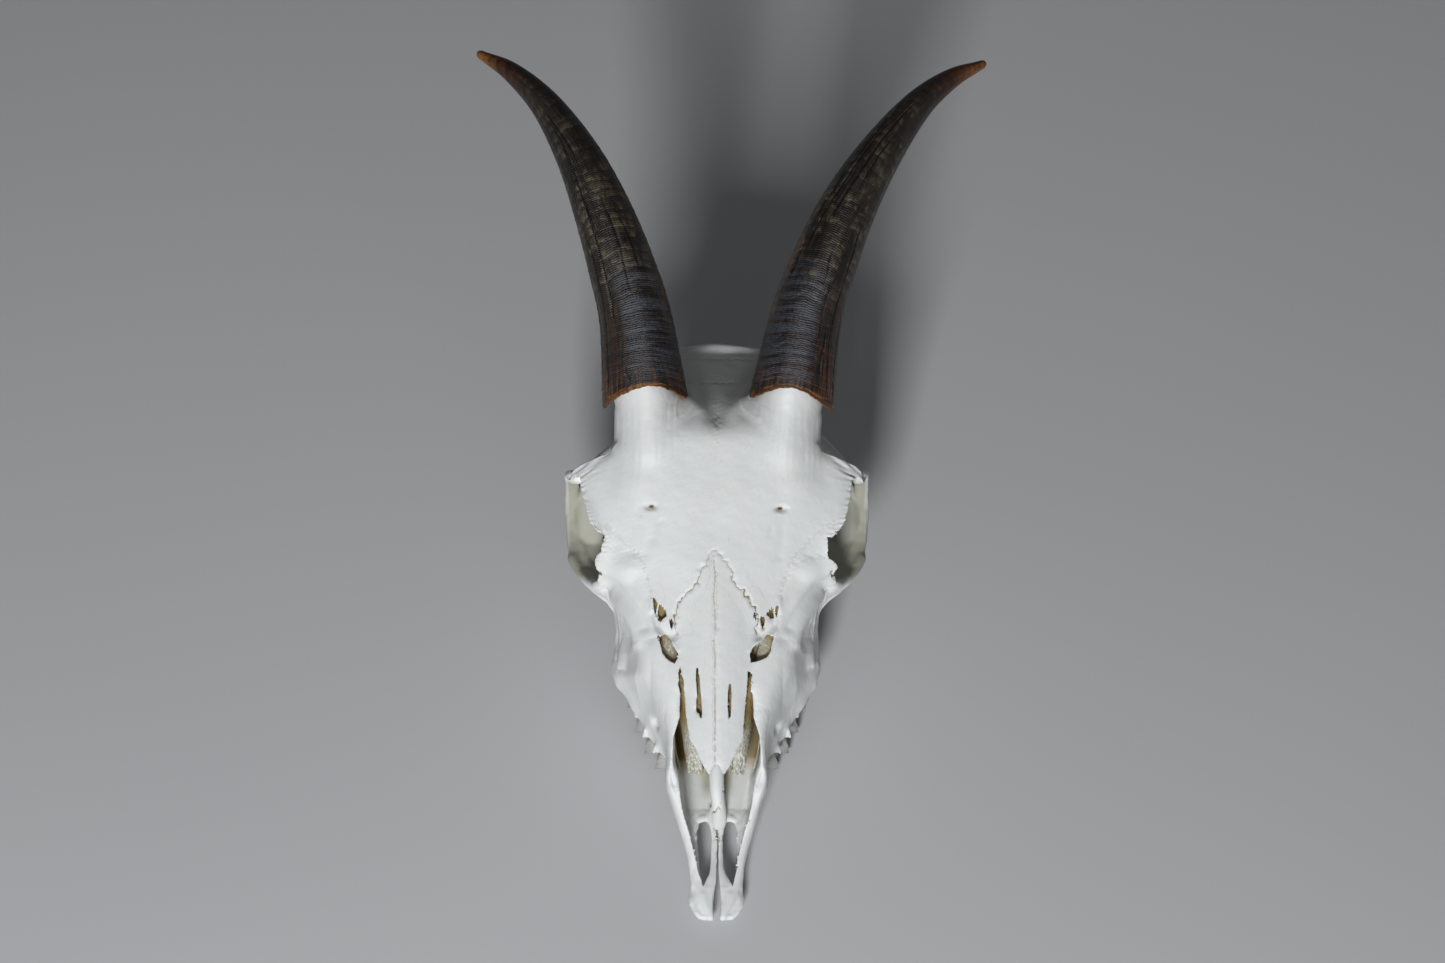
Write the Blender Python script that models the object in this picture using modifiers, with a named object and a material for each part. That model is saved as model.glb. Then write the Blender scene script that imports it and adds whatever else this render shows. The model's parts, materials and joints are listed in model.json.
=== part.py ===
"""Goat skull with both horn sheaths and no lower jaw, life size.

Metres, +Z up. The skull lies on the floor with its muzzle towards -Y, as it rests by itself: on the chewing
faces of the upper cheek teeth and on the tips of the two jugular processes behind them. Sizes below are in
millimetres and become metres where a point is placed. Y is measured back from the muzzle's tip and Z up from
the floor until the last step, which puts the origin under the middle of the whole specimen.

The skull's outer form is lofted and joined from a few masses, smoothed as one, then divided at its sutures
into the bones, which stand a suture's width apart.
"""

import math

import bmesh
import bpy
import numpy as np
from mathutils import Vector

MM = 0.001
SUTURE = 0.3

# The face leans back from the floor by this, and an observer of the face looks at it squarely.
FACE_TILT = math.radians(28)
FACE_START = 1.9

# Eye socket, seen from the side as y and z.
ORBIT_CENTRE = (139.7, 65.0)
ORBIT_RADIUS = 20.0
RIM_THICKNESS = 3.8
RIM_DEPTH = 3.4

# Surface of the joined masses before the bones are divided.
CORE_VOXEL = 0.9
CORE_SMOOTHING = 6
CORE_TRIANGLES = 5000

# Nasal bones, as depths behind the observer's plane through the floor line.
NASAL_FRONT_DEPTH = -22.9
NASAL_BACK_DEPTH = -20.0
NASAL_BACK_ALONG = 143.5
NASAL_ARCH = 0.02
NASAL_THICKNESS = 2.2
NASAL_CLEAR_ABOVE = 45.0

# Horn sheaths and the bony cores in them.
SHEATH_RIM_WALL = 1.7
RIM_RISE_FRONT = 10.0
RIM_RISE_BACK = 7.0
RIM_RINGS = 3
SHEATH_CLEARANCE = 0.6
CORE_REACH = 17.0
CORE_SINK = 15.0
CORE_CLEARANCE = 0.35
CORE_RIM_GAP = 3.0
CORE_TAPER = 0.09

# Cheek teeth of one side from front to back: start and end along Y, outer face's x, width across.
TEETH = (
    (64.6, 70.6, 25.0, 6.5, 1),
    (71.2, 79.4, 29.4, 8.5, 1),
    (80.0, 89.4, 33.0, 10.5, 1),
    (90.0, 102.6, 36.0, 12.0, 2),
    (103.2, 118.2, 36.6, 12.5, 2),
    (118.8, 138.6, 35.2, 11.5, 2),
)
TOOTH_ROOT_Z = 19.0
TOOTH_NECK_Z = 11.5
TOOTH_WORN_BAND = 1.5
TOOTH_BASIN = 1.8

BONE = ("bone", (0.80, 0.77, 0.69, 1.0), 0.55)
HORN = ("horn", (0.09, 0.06, 0.045, 1.0), 0.42)


def clear_scene():
    for thing in list(bpy.data.objects):
        bpy.data.objects.remove(thing)
    for group in list(bpy.data.collections):
        bpy.data.collections.remove(group)


def new_collection(name, shown=True):
    group = bpy.data.collections.new(name)
    bpy.context.scene.collection.children.link(group)
    group.hide_render = not shown
    return group


def empty_collection(group):
    for thing in list(group.objects):
        bpy.data.objects.remove(thing)


def material(kind):
    name, colour, roughness = kind
    found = bpy.data.materials.get(name)
    if found:
        return found
    made = bpy.data.materials.new(name)
    made.use_nodes = True
    shader = made.node_tree.nodes["Principled BSDF"]
    shader.inputs["Base Color"].default_value = colour
    shader.inputs["Roughness"].default_value = roughness
    shader.inputs["Metallic"].default_value = 0.0
    made.diffuse_color = colour
    return made


def add_object(name, bm, collection, kind=BONE):
    """Puts a bmesh in the scene as one closed body with its faces pointing out."""
    bmesh.ops.recalc_face_normals(bm, faces=bm.faces)
    mesh = bpy.data.meshes.new(name)
    bm.to_mesh(mesh)
    bm.free()
    mesh.materials.append(material(kind))
    made = bpy.data.objects.new(name, mesh)
    collection.objects.link(made)
    if collection.hide_render:
        made.hide_render = True
        made.display_type = "WIRE"
    return made


def curve_through(stations, per_span, closed=False):
    """Rows of a smooth curve through rows of numbers, per_span rows for each span."""
    rows = np.array(stations, float)
    if closed:
        rows = np.vstack([rows[-1], rows, rows[:2]])
    else:
        rows = np.vstack([2 * rows[0] - rows[1], rows, 2 * rows[-1] - rows[-2]])
    made = []
    for before, start, end, after in zip(rows, rows[1:], rows[2:], rows[3:]):
        for step in range(per_span):
            t = step / per_span
            linear = (end - before) * t
            square = (2 * before - 5 * start + 4 * end - after) * t**2
            cubic = (3 * start - before - 3 * end + after) * t**3
            made.append(0.5 * (2 * start + linear + square + cubic))
    if not closed:
        made.append(rows[-2])
    return np.array(made)


def loft(name, rings, collection, kind=BONE, closed=False):
    """A skin over rings of equal length in millimetres, capped at both ends unless it is closed on itself."""
    bm = bmesh.new()
    loops = [[bm.verts.new(Vector(point) * MM) for point in ring] for ring in rings]
    pairs = list(zip(loops, loops[1:]))
    if closed:
        pairs.append((loops[-1], loops[0]))
    for first, second in pairs:
        for i, corner in enumerate(first):
            j = (i + 1) % len(first)
            bm.faces.new((corner, first[j], second[j], second[i]))
    if not closed:
        bm.faces.new(reversed(loops[0]))
        bm.faces.new(loops[-1])
    return add_object(name, bm, collection, kind)


def ellipse(centre, wide, tall, sides):
    """A ring round centre; wide and tall are the half axes as vectors."""
    centre, wide, tall = Vector(centre), Vector(wide), Vector(tall)
    turns = [2 * math.pi * i / sides for i in range(sides)]
    return [centre + wide * math.cos(a) + tall * math.sin(a) for a in turns]


def sweep(name, stations, collection, up=(0, 0, 1), sides=14, per_span=4, kind=BONE):
    """A limb along stations of x, y, z, half width and half height, with an oval section."""
    rows = curve_through(stations, per_span)
    rings = []
    for i, row in enumerate(rows):
        ahead = rows[min(i + 1, len(rows) - 1)][:3] - rows[max(i - 1, 0)][:3]
        along = Vector(ahead).normalized()
        wide = along.cross(Vector(up)).normalized()
        tall = wide.cross(along).normalized()
        rings.append(ellipse(row[:3], wide * row[3], tall * row[4], sides))
    return loft(name, rings, collection, kind)


def mirrored(stations, side):
    return [(side * x, *rest) for x, *rest in stations]


def ball(name, centre, radii, collection, segments=20):
    bm = bmesh.new()
    bmesh.ops.create_uvsphere(bm, u_segments=segments, v_segments=segments // 2, radius=1.0)
    for vertex in bm.verts:
        vertex.co = Vector((c + r * v) * MM for c, r, v in zip(centre, radii, vertex.co))
    return add_object(name, bm, collection)


def box(name, low, high, collection):
    bm = bmesh.new()
    bmesh.ops.create_cube(bm, size=1.0)
    for vertex in bm.verts:
        vertex.co = Vector(((a + b) / 2 + (b - a) * v) * MM for a, b, v in zip(low, high, vertex.co))
    return add_object(name, bm, collection)


def from_face(x, along, deep):
    """A point as the observer of the face sees it: along the face from the muzzle, and deep behind it."""
    along += FACE_START
    y = along * math.cos(FACE_TILT) + deep * math.sin(FACE_TILT)
    z = along * math.sin(FACE_TILT) - deep * math.cos(FACE_TILT)
    return Vector((x, y, z))


def from_side(y, z, x):
    return Vector((x, y, z))


def from_above(x, y, z):
    return Vector((x, y, z))


def grown(outline, by):
    """A closed outline of pairs moved outwards by a distance."""
    points = [Vector(p) for p in outline]
    area = sum(a.x * b.y - b.x * a.y for a, b in zip(points, points[1:] + points[:1]))
    turn = 1 if area > 0 else -1
    made = []
    for before, here, after in zip(points[-1:] + points[:-1], points, points[1:] + points[:1]):
        first = (here - before).normalized()
        second = (after - here).normalized()
        first_out = Vector((first.y, -first.x)) * turn
        second_out = Vector((second.y, -second.x)) * turn
        share = max(0.35, 1 + first_out.dot(second_out))
        made.append(tuple(here + (first_out + second_out) * by / share))
    return made


def prism(name, outline, low, high, place, collection):
    """An outline of pairs carried from low to high; place turns a pair and a level into a point."""
    rings = [[place(a, b, level) for a, b in outline] for level in (low, high)]
    return loft(name, rings, collection)


def baked(thing):
    """Applies every modifier of an object to its mesh."""
    bpy.context.view_layer.update()
    graph = bpy.context.evaluated_depsgraph_get()
    mesh = bpy.data.meshes.new_from_object(thing.evaluated_get(graph))
    thing.modifiers.clear()
    thing.data = mesh
    return thing


def boolean(thing, other, operation):
    """Applies one Boolean with an object or a collection."""
    modifier = thing.modifiers.new("boolean", "BOOLEAN")
    modifier.operation = operation
    modifier.solver = "MANIFOLD"
    if isinstance(other, bpy.types.Collection):
        modifier.operand_type = "COLLECTION"
        modifier.collection = other
    else:
        modifier.object = other
    return baked(thing)


def copy_of(thing, name, collection):
    made = bpy.data.objects.new(name, thing.data.copy())
    collection.objects.link(made)
    return made


def keep_largest(thing):
    """Drops every closed surface of an object but the one with the most volume."""
    bm = bmesh.new()
    bm.from_mesh(thing.data)
    bm.verts.ensure_lookup_table()
    island = {}
    islands = []
    for start in bm.verts:
        if start in island:
            continue
        members = [start]
        island[start] = len(islands)
        for vertex in members:
            for edge in vertex.link_edges:
                other = edge.other_vert(vertex)
                if other not in island:
                    island[other] = len(islands)
                    members.append(other)
        islands.append(members)
    volumes = [0.0] * len(islands)
    for face in bm.faces:
        corners = [v.co for v in face.verts]
        for second, third in zip(corners[1:], corners[2:]):
            volumes[island[face.verts[0]]] += corners[0].dot(second.cross(third)) / 6
    best = max(range(len(islands)), key=lambda i: volumes[i])
    spare = [v for v in bm.verts if island[v] != best]
    bmesh.ops.delete(bm, geom=spare, context="VERTS")
    bm.to_mesh(thing.data)
    bm.free()
    return thing


def take(core, name, outline, low, high, place, parts, cutters, beside=None):
    """Cuts the bone inside a prism out of the core, a suture's width clear of what is left, as its own part.
    beside makes a second shape, grown by a distance, that the prism is joined with."""
    bone = copy_of(core, name, parts)
    for grow, thing, operation in ((0.0, bone, "INTERSECT"), (SUTURE, core, "DIFFERENCE")):
        region = prism("region", grown(outline, grow), low - grow, high + grow, place, cutters)
        if beside:
            boolean(region, beside(grow, cutters), "UNION")
        boolean(thing, region, operation)
        empty_collection(cutters)
    return keep_largest(bone)


def ring_of(half, per_span):
    """A closed ring from the right half of a section, from the top of the midline to its bottom."""
    left = [(-x, z) for x, z in reversed(half[1:-1])]
    return curve_through(list(half) + left, per_span, closed=True)


def section_loft(name, stations, collection, per_span=3, round_span=3):
    """A skin over half sections given at stations back from the muzzle's tip."""
    table = [[y, *np.array(half, float).ravel()] for y, half in stations]
    rings = []
    for row in curve_through(table, per_span):
        half = [tuple(pair) for pair in row[1:].reshape(-1, 2)]
        rings.append([(x, row[0], z) for x, z in ring_of(half, round_span)])
    return loft(name, rings, collection)


# Right half sections: roof midline, roof, roof, edge of the brow above and below, socket roof, waist above
# and below, base, midline below.
BRAIN_STATIONS = (
    (92, ((0, 72.6), (12, 69.8), (21, 66.6), (27, 64), (28, 60), (26, 54), (21, 46), (17, 38),
        (12, 33), (0, 30))),
    (106, ((0, 79.4), (12, 77.4), (23, 73.8), (32, 70), (34, 66), (32, 59), (27, 49), (22, 40),
        (15, 34), (0, 31))),
    (118, ((0, 85.5), (14, 84.8), (27, 81), (38.5, 76), (40, 71), (33, 62), (25, 51), (19, 41),
        (13, 34), (0, 32))),
    (128, ((0, 91), (16, 90.4), (31, 87), (43.5, 81.5), (45, 77), (33, 70), (21, 58), (17, 44),
        (11, 34), (0, 31))),
    (138, ((0, 97), (18, 96.4), (36, 92.5), (50.5, 86), (51.5, 81.5), (34, 76), (19, 62), (16, 46),
        (11, 35), (0, 30))),
    (148, ((0, 102.8), (20, 102), (40, 97), (55, 89.5), (56, 85), (36, 79), (19, 66), (16, 48),
        (12, 36), (0, 30))),
    (155, ((0, 106.8), (20, 106), (40, 100), (54.4, 90.5), (54.4, 86), (36, 80), (22, 68), (19, 52),
        (14, 38), (0, 31))),
    (158, ((0, 108.6), (20, 107.6), (36, 101.4), (43.5, 94), (43, 87.6), (34, 80), (24, 68),
        (21, 53), (15, 39), (0, 31.5))),
    (163, ((0, 109.4), (19, 108.4), (31, 103.4), (36.5, 96.4), (36, 88), (31, 80), (28, 68),
        (24, 54), (16, 40), (0, 32))),
    (172, ((0, 106), (17, 105), (29, 100), (34, 92), (34.5, 82), (34, 72), (32, 60), (28, 48),
        (17, 39), (0, 33))),
    (184, ((0, 99.6), (16, 98.4), (27, 94), (32, 86), (34, 77), (34, 67), (33, 57), (29, 47),
        (17, 39), (0, 34))),
    (196, ((0, 93), (15, 92), (26, 88), (31, 81), (33, 73), (33.4, 64), (32, 56), (28, 47),
        (17, 40), (0, 35))),
    (206, ((0, 87.4), (15, 87), (25, 84), (29.5, 78), (31, 70), (31, 63), (29.5, 56), (25, 48),
        (16, 41), (0, 36))),
    (211, ((0, 84), (14, 83.6), (23, 81), (27, 76), (28.5, 69), (28.5, 63), (27, 57), (22, 50),
        (14, 44), (0, 40))),
    (213, ((0, 81), (12, 80.4), (19, 78), (23, 74), (24.5, 68), (24.5, 63), (23, 58), (18, 52),
        (12, 47), (0, 43))),
)

# Right half sections: roof midline, roof, facial ridge, wall, wall, cheek, outer and inner edge of the tooth
# bed, midline of the palate.
FACE_STATIONS = (
    (-2.4, ((0, 6), (2, 6.2), (4, 6.2), (6, 5.6), (6.6, 4.6), (6, 3.6), (5, 3.1), (2.5, 3), (0, 3))),
    (2, ((0, 8), (4, 8), (7.5, 7.6), (9.6, 6.4), (10, 5.2), (9.6, 4.1), (8, 3.3), (4, 3), (0, 3))),
    (12, ((0, 10.8), (4, 10.8), (8, 10.4), (10.4, 8.8), (10.6, 7), (10, 5.6), (9, 4.7), (5, 4.4),
        (0, 4.6))),
    (20, ((0, 15), (5, 15), (9.5, 14.5), (11.4, 12.5), (11.6, 10), (11.2, 8), (10.4, 6.8), (6, 6.5),
        (0, 6.8))),
    (28, ((0, 20.5), (7, 20.5), (12, 20.5), (13.8, 17.5), (13.8, 13.5), (13, 10), (12, 8.2), (7, 8),
        (0, 8.8))),
    (36, ((0, 27.5), (9, 27.5), (15, 27.6), (16.8, 23), (16.6, 17), (15, 11.6), (13.5, 9.4),
        (9, 9.2), (0, 10.5))),
    (44, ((0, 35), (10, 35), (17, 35.2), (18.9, 29), (18.4, 21), (16.4, 13.5), (14.6, 10.6),
        (9.5, 10.4), (0, 12))),
    (52, ((0, 44), (11, 44.5), (17.6, 44.2), (19.6, 36), (19, 25), (17.4, 15), (15.6, 11.6),
        (10.5, 11.4), (0, 13.4))),
    (60, ((0, 51), (13, 51.6), (18.5, 50), (20.8, 38), (20.6, 25), (19.6, 15), (18.2, 12), (12, 12),
        (0, 14.5))),
    (68, ((0, 57), (14, 56.4), (21, 53.6), (24, 40), (24.6, 26), (24.8, 17), (24, 12.5), (15, 12.5),
        (0, 15.5))),
    (78, ((0, 62), (14, 62), (25, 57.8), (28, 43), (29.2, 29), (30.5, 18), (29.5, 12.5), (17, 12.5),
        (0, 16.5))),
    (88, ((0, 66), (16, 66.5), (28, 62.5), (31.6, 48), (33.5, 32), (36, 20), (33.5, 12.5),
        (19, 12.5), (0, 17))),
    (100, ((0, 70), (19, 71.5), (31.5, 68), (35.8, 54), (38.2, 37), (41, 23), (36.5, 13), (21, 13),
        (0, 17.5))),
    (112, ((0, 76), (22, 77.5), (36, 73.5), (40.4, 62), (40.8, 44), (40.6, 27), (37.5, 13.5),
        (22, 13.5), (0, 18))),
    (121, ((0, 80), (24, 81), (40, 77), (44, 68), (43, 50), (40.4, 30), (38, 14), (23, 14), (0, 18.5))),
    (130, ((0, 68), (18, 64), (28, 55), (36, 47), (39, 40), (38, 28), (37, 15), (23, 15), (0, 20))),
    (140, ((0, 50), (14, 48), (24, 46), (31, 43), (34, 37), (34, 28), (33.5, 17), (24, 17), (0, 22))),
    (146, ((0, 40), (12, 39), (20, 37), (26, 34), (28, 30), (28, 26), (27, 21), (22, 20), (0, 25))),
)

# Right half sections of the nasal cavity: roof midline, roof, wall, floor, floor midline.
CAVITY_STATIONS = (
    (9, ((0, 20), (3.6, 20), (4.8, 12), (4, 8.4), (0, 7.8))),
    (14, ((0, 26), (6.4, 26), (7, 13), (6, 9), (0, 8.4))),
    (20, ((0, 32), (8, 32), (8.4, 16), (7.4, 10.6), (0, 9.8))),
    (28, ((0, 38), (10.4, 38), (10.8, 20), (9.4, 12.8), (0, 11.8))),
    (36, ((0, 46), (13.2, 46), (13.6, 24), (11.6, 14.4), (0, 13.4))),
    (44, ((0, 52), (15.4, 52), (15.8, 28), (13.2, 16), (0, 15))),
    (52, ((0, 54), (15.4, 50), (16.6, 32), (14.4, 17.6), (0, 16.6))),
    (60, ((0, 54), (13, 49), (17.8, 36), (16.6, 20), (0, 17.8))),
    (68, ((0, 57), (13.5, 53), (20.6, 38), (20.4, 22), (0, 19))),
    (78, ((0, 62), (14.5, 58), (24.2, 41), (23.6, 25), (0, 20.2))),
    (88, ((0, 66), (16, 62), (27.4, 46), (26.6, 28), (0, 21.2))),
    (100, ((0, 71), (18, 66), (31, 50), (29, 32), (0, 22.6))),
    (110, ((0, 75), (16, 70), (28, 54), (26, 36), (0, 25))),
    (117, ((0, 70), (9, 66), (17, 54), (16, 42), (0, 34))),
)


def orbit_rim(collection, side):
    """The ring of bone round the eye. Its lower back part stands furthest out."""
    outward = (
        (0, 58.2), (32, 57.6), (58, 55.6), (80, 53.0), (102, 51.2), (124, 47.6), (146, 43.6),
        (172, 43.6), (198, 45.4), (224, 49.4), (250, 54.4), (280, 57.6), (316, 58.8),
    )
    reach = ORBIT_RADIUS + RIM_THICKNESS / 2
    centre = Vector((0, *ORBIT_CENTRE))
    stations = []
    for degrees, x in outward:
        turn = math.radians(degrees)
        stations.append((side * x, centre.y + reach * math.cos(turn), centre.z + reach * math.sin(turn)))
    rings = []
    for row in curve_through(stations, 3, closed=True):
        spoke = Vector(row) - centre
        spoke.x = 0
        half = spoke.normalized() * RIM_THICKNESS / 2
        rings.append(ellipse(row, Vector((side * RIM_DEPTH, 0, 0)), half, 10))
    return loft("orbit_rim", rings, collection, closed=True)


def orbit_socket(collection, side):
    """The hollow behind the ring: its round mouth narrows towards the wall between the eyes."""
    stations = (
        (74, 138, 66.5, 24), (58, 139.5, 65.4, 20.0), (48, 139.7, 65, 20.0), (38, 141.5, 64, 19.0),
        (29, 145, 62.5, 16.0), (22.5, 149, 61, 11.5), (18.5, 152, 60, 6.0),
    )
    rings = []
    for x, y, z, radius in curve_through(stations, 2):
        rings.append(ellipse((side * x, y, z), Vector((0, radius, 0)), Vector((0, 0, radius)), 28))
    return loft("orbit_socket", rings, collection)


CHEEK = (
    (35, 96, 31, 4, 8), (36, 106, 37, 4.2, 10.5), (37.6, 115, 42, 4, 10), (41.6, 121, 44, 4, 8.6),
    (48.6, 127, 43.4, 4, 7), (54, 134, 42.6, 3.6, 6.2), (57.4, 143, 43.4, 3.2, 5.6),
        (58.2, 153, 46.4, 2.8, 5.4),
    (56.6, 163, 50, 2.6, 4.8), (53, 172, 52, 2.8, 4.4), (47.6, 181, 51.6, 3.6, 4.4),
        (39.6, 188.5, 51, 5.4, 5.2),
    (31, 192, 51, 7, 7),
)
ORBIT_FLOOR = ((33, 129, 37.5, 9, 4), (42, 134, 40.6, 10, 3), (49, 139, 42, 11, 2.6),
(56, 142, 43, 9, 2.2))
JUGULAR_PROCESS = (
    (24, 206.6, 58, 6, 4.6), (25.4, 206.2, 46, 4.4, 5.0), (25.2, 205.4, 34, 3.0, 4.8),
        (24, 203.6, 21, 2.3, 4.2),
    (22.2, 201.2, 8, 1.9, 3.2), (21, 199.4, -3, 1.6, 2.4),
)
NUCHAL_CREST = (
    (30.5, 202, 60, 2.4, 2.6), (31, 205, 70, 2.2, 2.8), (27, 208.4, 78.6, 2.2, 2.6),
        (18, 210.4, 82.4, 2.4, 2.4),
    (8, 211.4, 83.6, 2.6, 2.4), (0, 211.8, 84, 2.6, 2.4), (-8, 211.4, 83.6, 2.6, 2.4),
    (-18, 210.4, 82.4, 2.4, 2.4), (-27, 208.4, 78.6, 2.2, 2.6), (-31, 205, 70, 2.2, 2.8),
    (-30.5, 202, 60, 2.4, 2.6),
)
ROUND_MASSES = (
    ("bulla", (21, 185.5, 35), (7.5, 9.5, 12)),
    ("joint_root", (36, 181, 52), (9, 9, 6.5)),
    ("condyle", (13, 212.5, 42), (9.5, 6, 10)),
)
BASIN_CENTRE = (0, 204, 41)
BASIN_RADII = (13, 12, 7)
CHOANA = ((0, 34), (7, 33), (9.6, 28), (9.6, 10), (9.6, -10), (0, -10))
SPINAL_HOLE = ((0, 226, 50, 10, 9), (0, 208, 50, 10, 9), (0, 186, 56, 9, 9))
PTERYGOID_REACH = (10.5, 13.6)
PTERYGOID_PLATE = ((132, 36), (136, 24), (143, 17), (151, 17.5), (157, 24), (162, 36), (150, 46))
EAR_TUBE = ((22, 187.5, 43, 5, 5), (33, 190, 46.5, 4.8, 4.8), (41, 191.5, 49.5, 4.2, 4.2))


def horn_axis(side):
    """Centre line of one sheath from its rim to near its tip, with half width and half depth. The right horn
    spreads a little wider than the left one."""
    if side < 0:
        line = (
            (-27.5, 202.3, -8), (-31.2, 234.2, -15), (-36.8, 255.3, -18), (-44.2, 276.8, -19.2),
            (-53.6, 298, -18.4), (-66.4, 318.2, -15.5), (-80.2, 331.8, -11.5), (-92.3, 339.1, -7),
        )
    else:
        line = (
            (28.8, 201.4, -8), (34.3, 234.0, -15), (41.2, 255.3, -18), (50.3, 276.8, -19.2),
            (62.7, 298, -18.4), (77.9, 317.8, -15.5), (91.6, 329.2, -11.5), (104.0, 335.3, -7),
        )
    sizes = (
        (17.6, 20.0), (14.8, 18.0), (13.5, 16.4), (11.7, 14.2), (9.2, 11.3), (6.3, 8.0), (4.1, 5.2),
        (1.9, 2.3),
    )
    return [(*from_face(*point), *size) for point, size in zip(line, sizes)]


def horn_frame(side):
    """Rows along the axis, each with its point, its outward and forward directions and its half sizes."""
    rows = curve_through(horn_axis(side), 3)
    towards = from_face(0, 0, -1) - from_face(0, 0, 0)
    made = []
    for i, row in enumerate(rows):
        ahead = rows[min(i + 1, len(rows) - 1)][:3] - rows[max(i - 1, 0)][:3]
        along = Vector(ahead).normalized()
        front = (towards - along * towards.dot(along)).normalized()
        wide = along.cross(front).normalized()
        if wide.x * side < 0:
            wide.negate()
        made.append((Vector(row[:3]), along, wide, front, row[3], row[4]))
    return made


def horn_ring(centre, wide, front, half_width, half_depth, sides=18, rise=0.0):
    """An oval that is keeled in front and flatter on its inner face. rise lifts its front and back along the
    horn, as the rim is where it sits astride the skull."""
    along = front.cross(wide)
    if along.y < 0:
        along.negate()
    ring = []
    for k in range(sides):
        turn = 2 * math.pi * k / sides
        keel = 1 + 0.07 * max(0.0, math.cos(turn)) ** 4
        flat = 1 - 0.07 * max(0.0, -math.sin(turn)) ** 2
        saddle = math.cos(turn) ** 2 * (RIM_RISE_FRONT if math.cos(turn) > 0 else RIM_RISE_BACK)
        ring.append(
            centre
            + front * math.cos(turn) * half_depth * keel
            + wide * math.sin(turn) * half_width * flat
            + along * saddle * rise
        )
    return ring


def horn_sheath(name, side, parts, cutters):
    frame = horn_frame(side)
    rings = []
    for i, (centre, _, wide, front, a, b) in enumerate(frame):
        rings.append(horn_ring(centre, wide, front, a, b, rise=max(0.0, 1 - i / RIM_RINGS)))
    centre, along, wide, front, a, b = frame[-1]
    rings.append(horn_ring(centre + along * 2.4, wide, front, a * 0.55, b * 0.55))
    sheath = loft(name, rings, parts, HORN)
    centre, along, wide, front, a, b = frame[0]
    a, b = a - SHEATH_RIM_WALL, b - SHEATH_RIM_WALL
    narrower = CORE_REACH * CORE_TAPER
    deep = [
        horn_ring(centre - along * 3, wide, front, a, b),
        horn_ring(centre + along * CORE_REACH, wide, front, a - narrower, b - narrower),
    ]
    boolean(sheath, loft("recess", deep, cutters), "DIFFERENCE")
    empty_collection(cutters)
    return sheath


def horn_core(side, collection):
    """The bony core from inside the pedicle to the floor of the sheath's recess."""
    centre, along, wide, front, a, b = horn_frame(side)[0]
    a, b = a - SHEATH_RIM_WALL, b - SHEATH_RIM_WALL
    tight = CORE_REACH * CORE_TAPER + CORE_CLEARANCE
    loose = CORE_RIM_GAP
    rings = [
        horn_ring(centre - along * CORE_SINK, wide, front, a - loose - 1, b - loose - 1),
        horn_ring(centre, wide, front, a - loose, b - loose),
        horn_ring(centre + along * (CORE_REACH - CORE_CLEARANCE), wide, front, a - tight, b - tight),
    ]
    return loft("core", rings, collection)


def sheath_room(side, collection):
    """The space of the sheath's lower part and a clearance round it, that no bone enters."""
    rings = []
    for i, (centre, along, wide, front, a, b) in enumerate(horn_frame(side)[:2 * RIM_RINGS]):
        start = centre - along * (0 if i else SHEATH_CLEARANCE)
        rise = max(0.0, 1 - i / RIM_RINGS)
        grown_a, grown_b = a + SHEATH_CLEARANCE, b + SHEATH_CLEARANCE
        rings.append(horn_ring(start, wide, front, grown_a, grown_b, rise=rise))
    return loft("sheath_room", rings, collection)


PEDICLE = ((1.2, 0.78), (6, 0.79), (12, 0.83), (18, 0.86), (25, 0.74))


def pedicle(side, collection, grow=0.0):
    """The flared stalk of frontal bone that carries the core, up to just under the sheath's rim. Each row of
    its table has a distance back from the rim and a share of the sheath's size there."""
    centre, along, wide, front, a, b = horn_frame(side)[0]
    rings = []
    for back, share in PEDICLE:
        here = centre - along * (back - (grow if back == PEDICLE[0][0] else 0))
        rings.append(horn_ring(here, wide, front, a * share + grow, b * share + grow, 16))
    return loft("pedicle", rings, collection)


def skull_core(parts, masses, cutters):
    """The whole skull without its openings as one smooth surface."""
    core = section_loft("core", BRAIN_STATIONS, parts)
    section_loft("face", FACE_STATIONS, masses)
    sweep("nuchal_crest", NUCHAL_CREST, masses, up=(0, 1, 0), sides=8, per_span=3)
    for side in (-1, 1):
        orbit_rim(masses, side)
        sweep("cheek", mirrored(CHEEK, side), masses, sides=12)
        sweep("orbit_floor", mirrored(ORBIT_FLOOR, side), masses, sides=10, per_span=2)
        sweep("jugular_process", mirrored(JUGULAR_PROCESS, side), masses, up=(0, 1, 0), sides=12)
        sweep("ear_tube", mirrored(EAR_TUBE, side), masses, sides=10)
        for name, (x, y, z), radii in ROUND_MASSES:
            ball(name, (side * x, y, z), radii, masses)
        pedicle(side, masses)
        prism(
            "pterygoid_plate", PTERYGOID_PLATE, *sorted(side * x for x in PTERYGOID_REACH), from_side, masses
        )
    ball("basin", BASIN_CENTRE, BASIN_RADII, masses)
    boolean(core, masses, "UNION")
    empty_collection(masses)
    for side in (-1, 1):
        orbit_socket(cutters, side)
    choana_stations = [
        (117, tuple((x * 0.55, z) for x, z in CHOANA)),
        (120, CHOANA),
        (140, CHOANA),
        (166, tuple((x, z - 2) for x, z in CHOANA)),
    ]
    section_loft("choana", choana_stations, cutters, per_span=2)
    boolean(core, cutters, "DIFFERENCE")
    empty_collection(cutters)
    remesh = core.modifiers.new("remesh", "REMESH")
    remesh.mode = "VOXEL"
    remesh.voxel_size = CORE_VOXEL * MM
    smooth = core.modifiers.new("smooth", "SMOOTH")
    smooth.factor = 0.5
    smooth.iterations = CORE_SMOOTHING
    baked(core)
    keep_largest(core)
    triangles = sum(len(face.vertices) - 2 for face in core.data.polygons)
    thin = core.modifiers.new("thin", "DECIMATE")
    thin.ratio = CORE_TRIANGLES / triangles
    thin.use_collapse_triangulate = True
    return baked(core)


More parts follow.
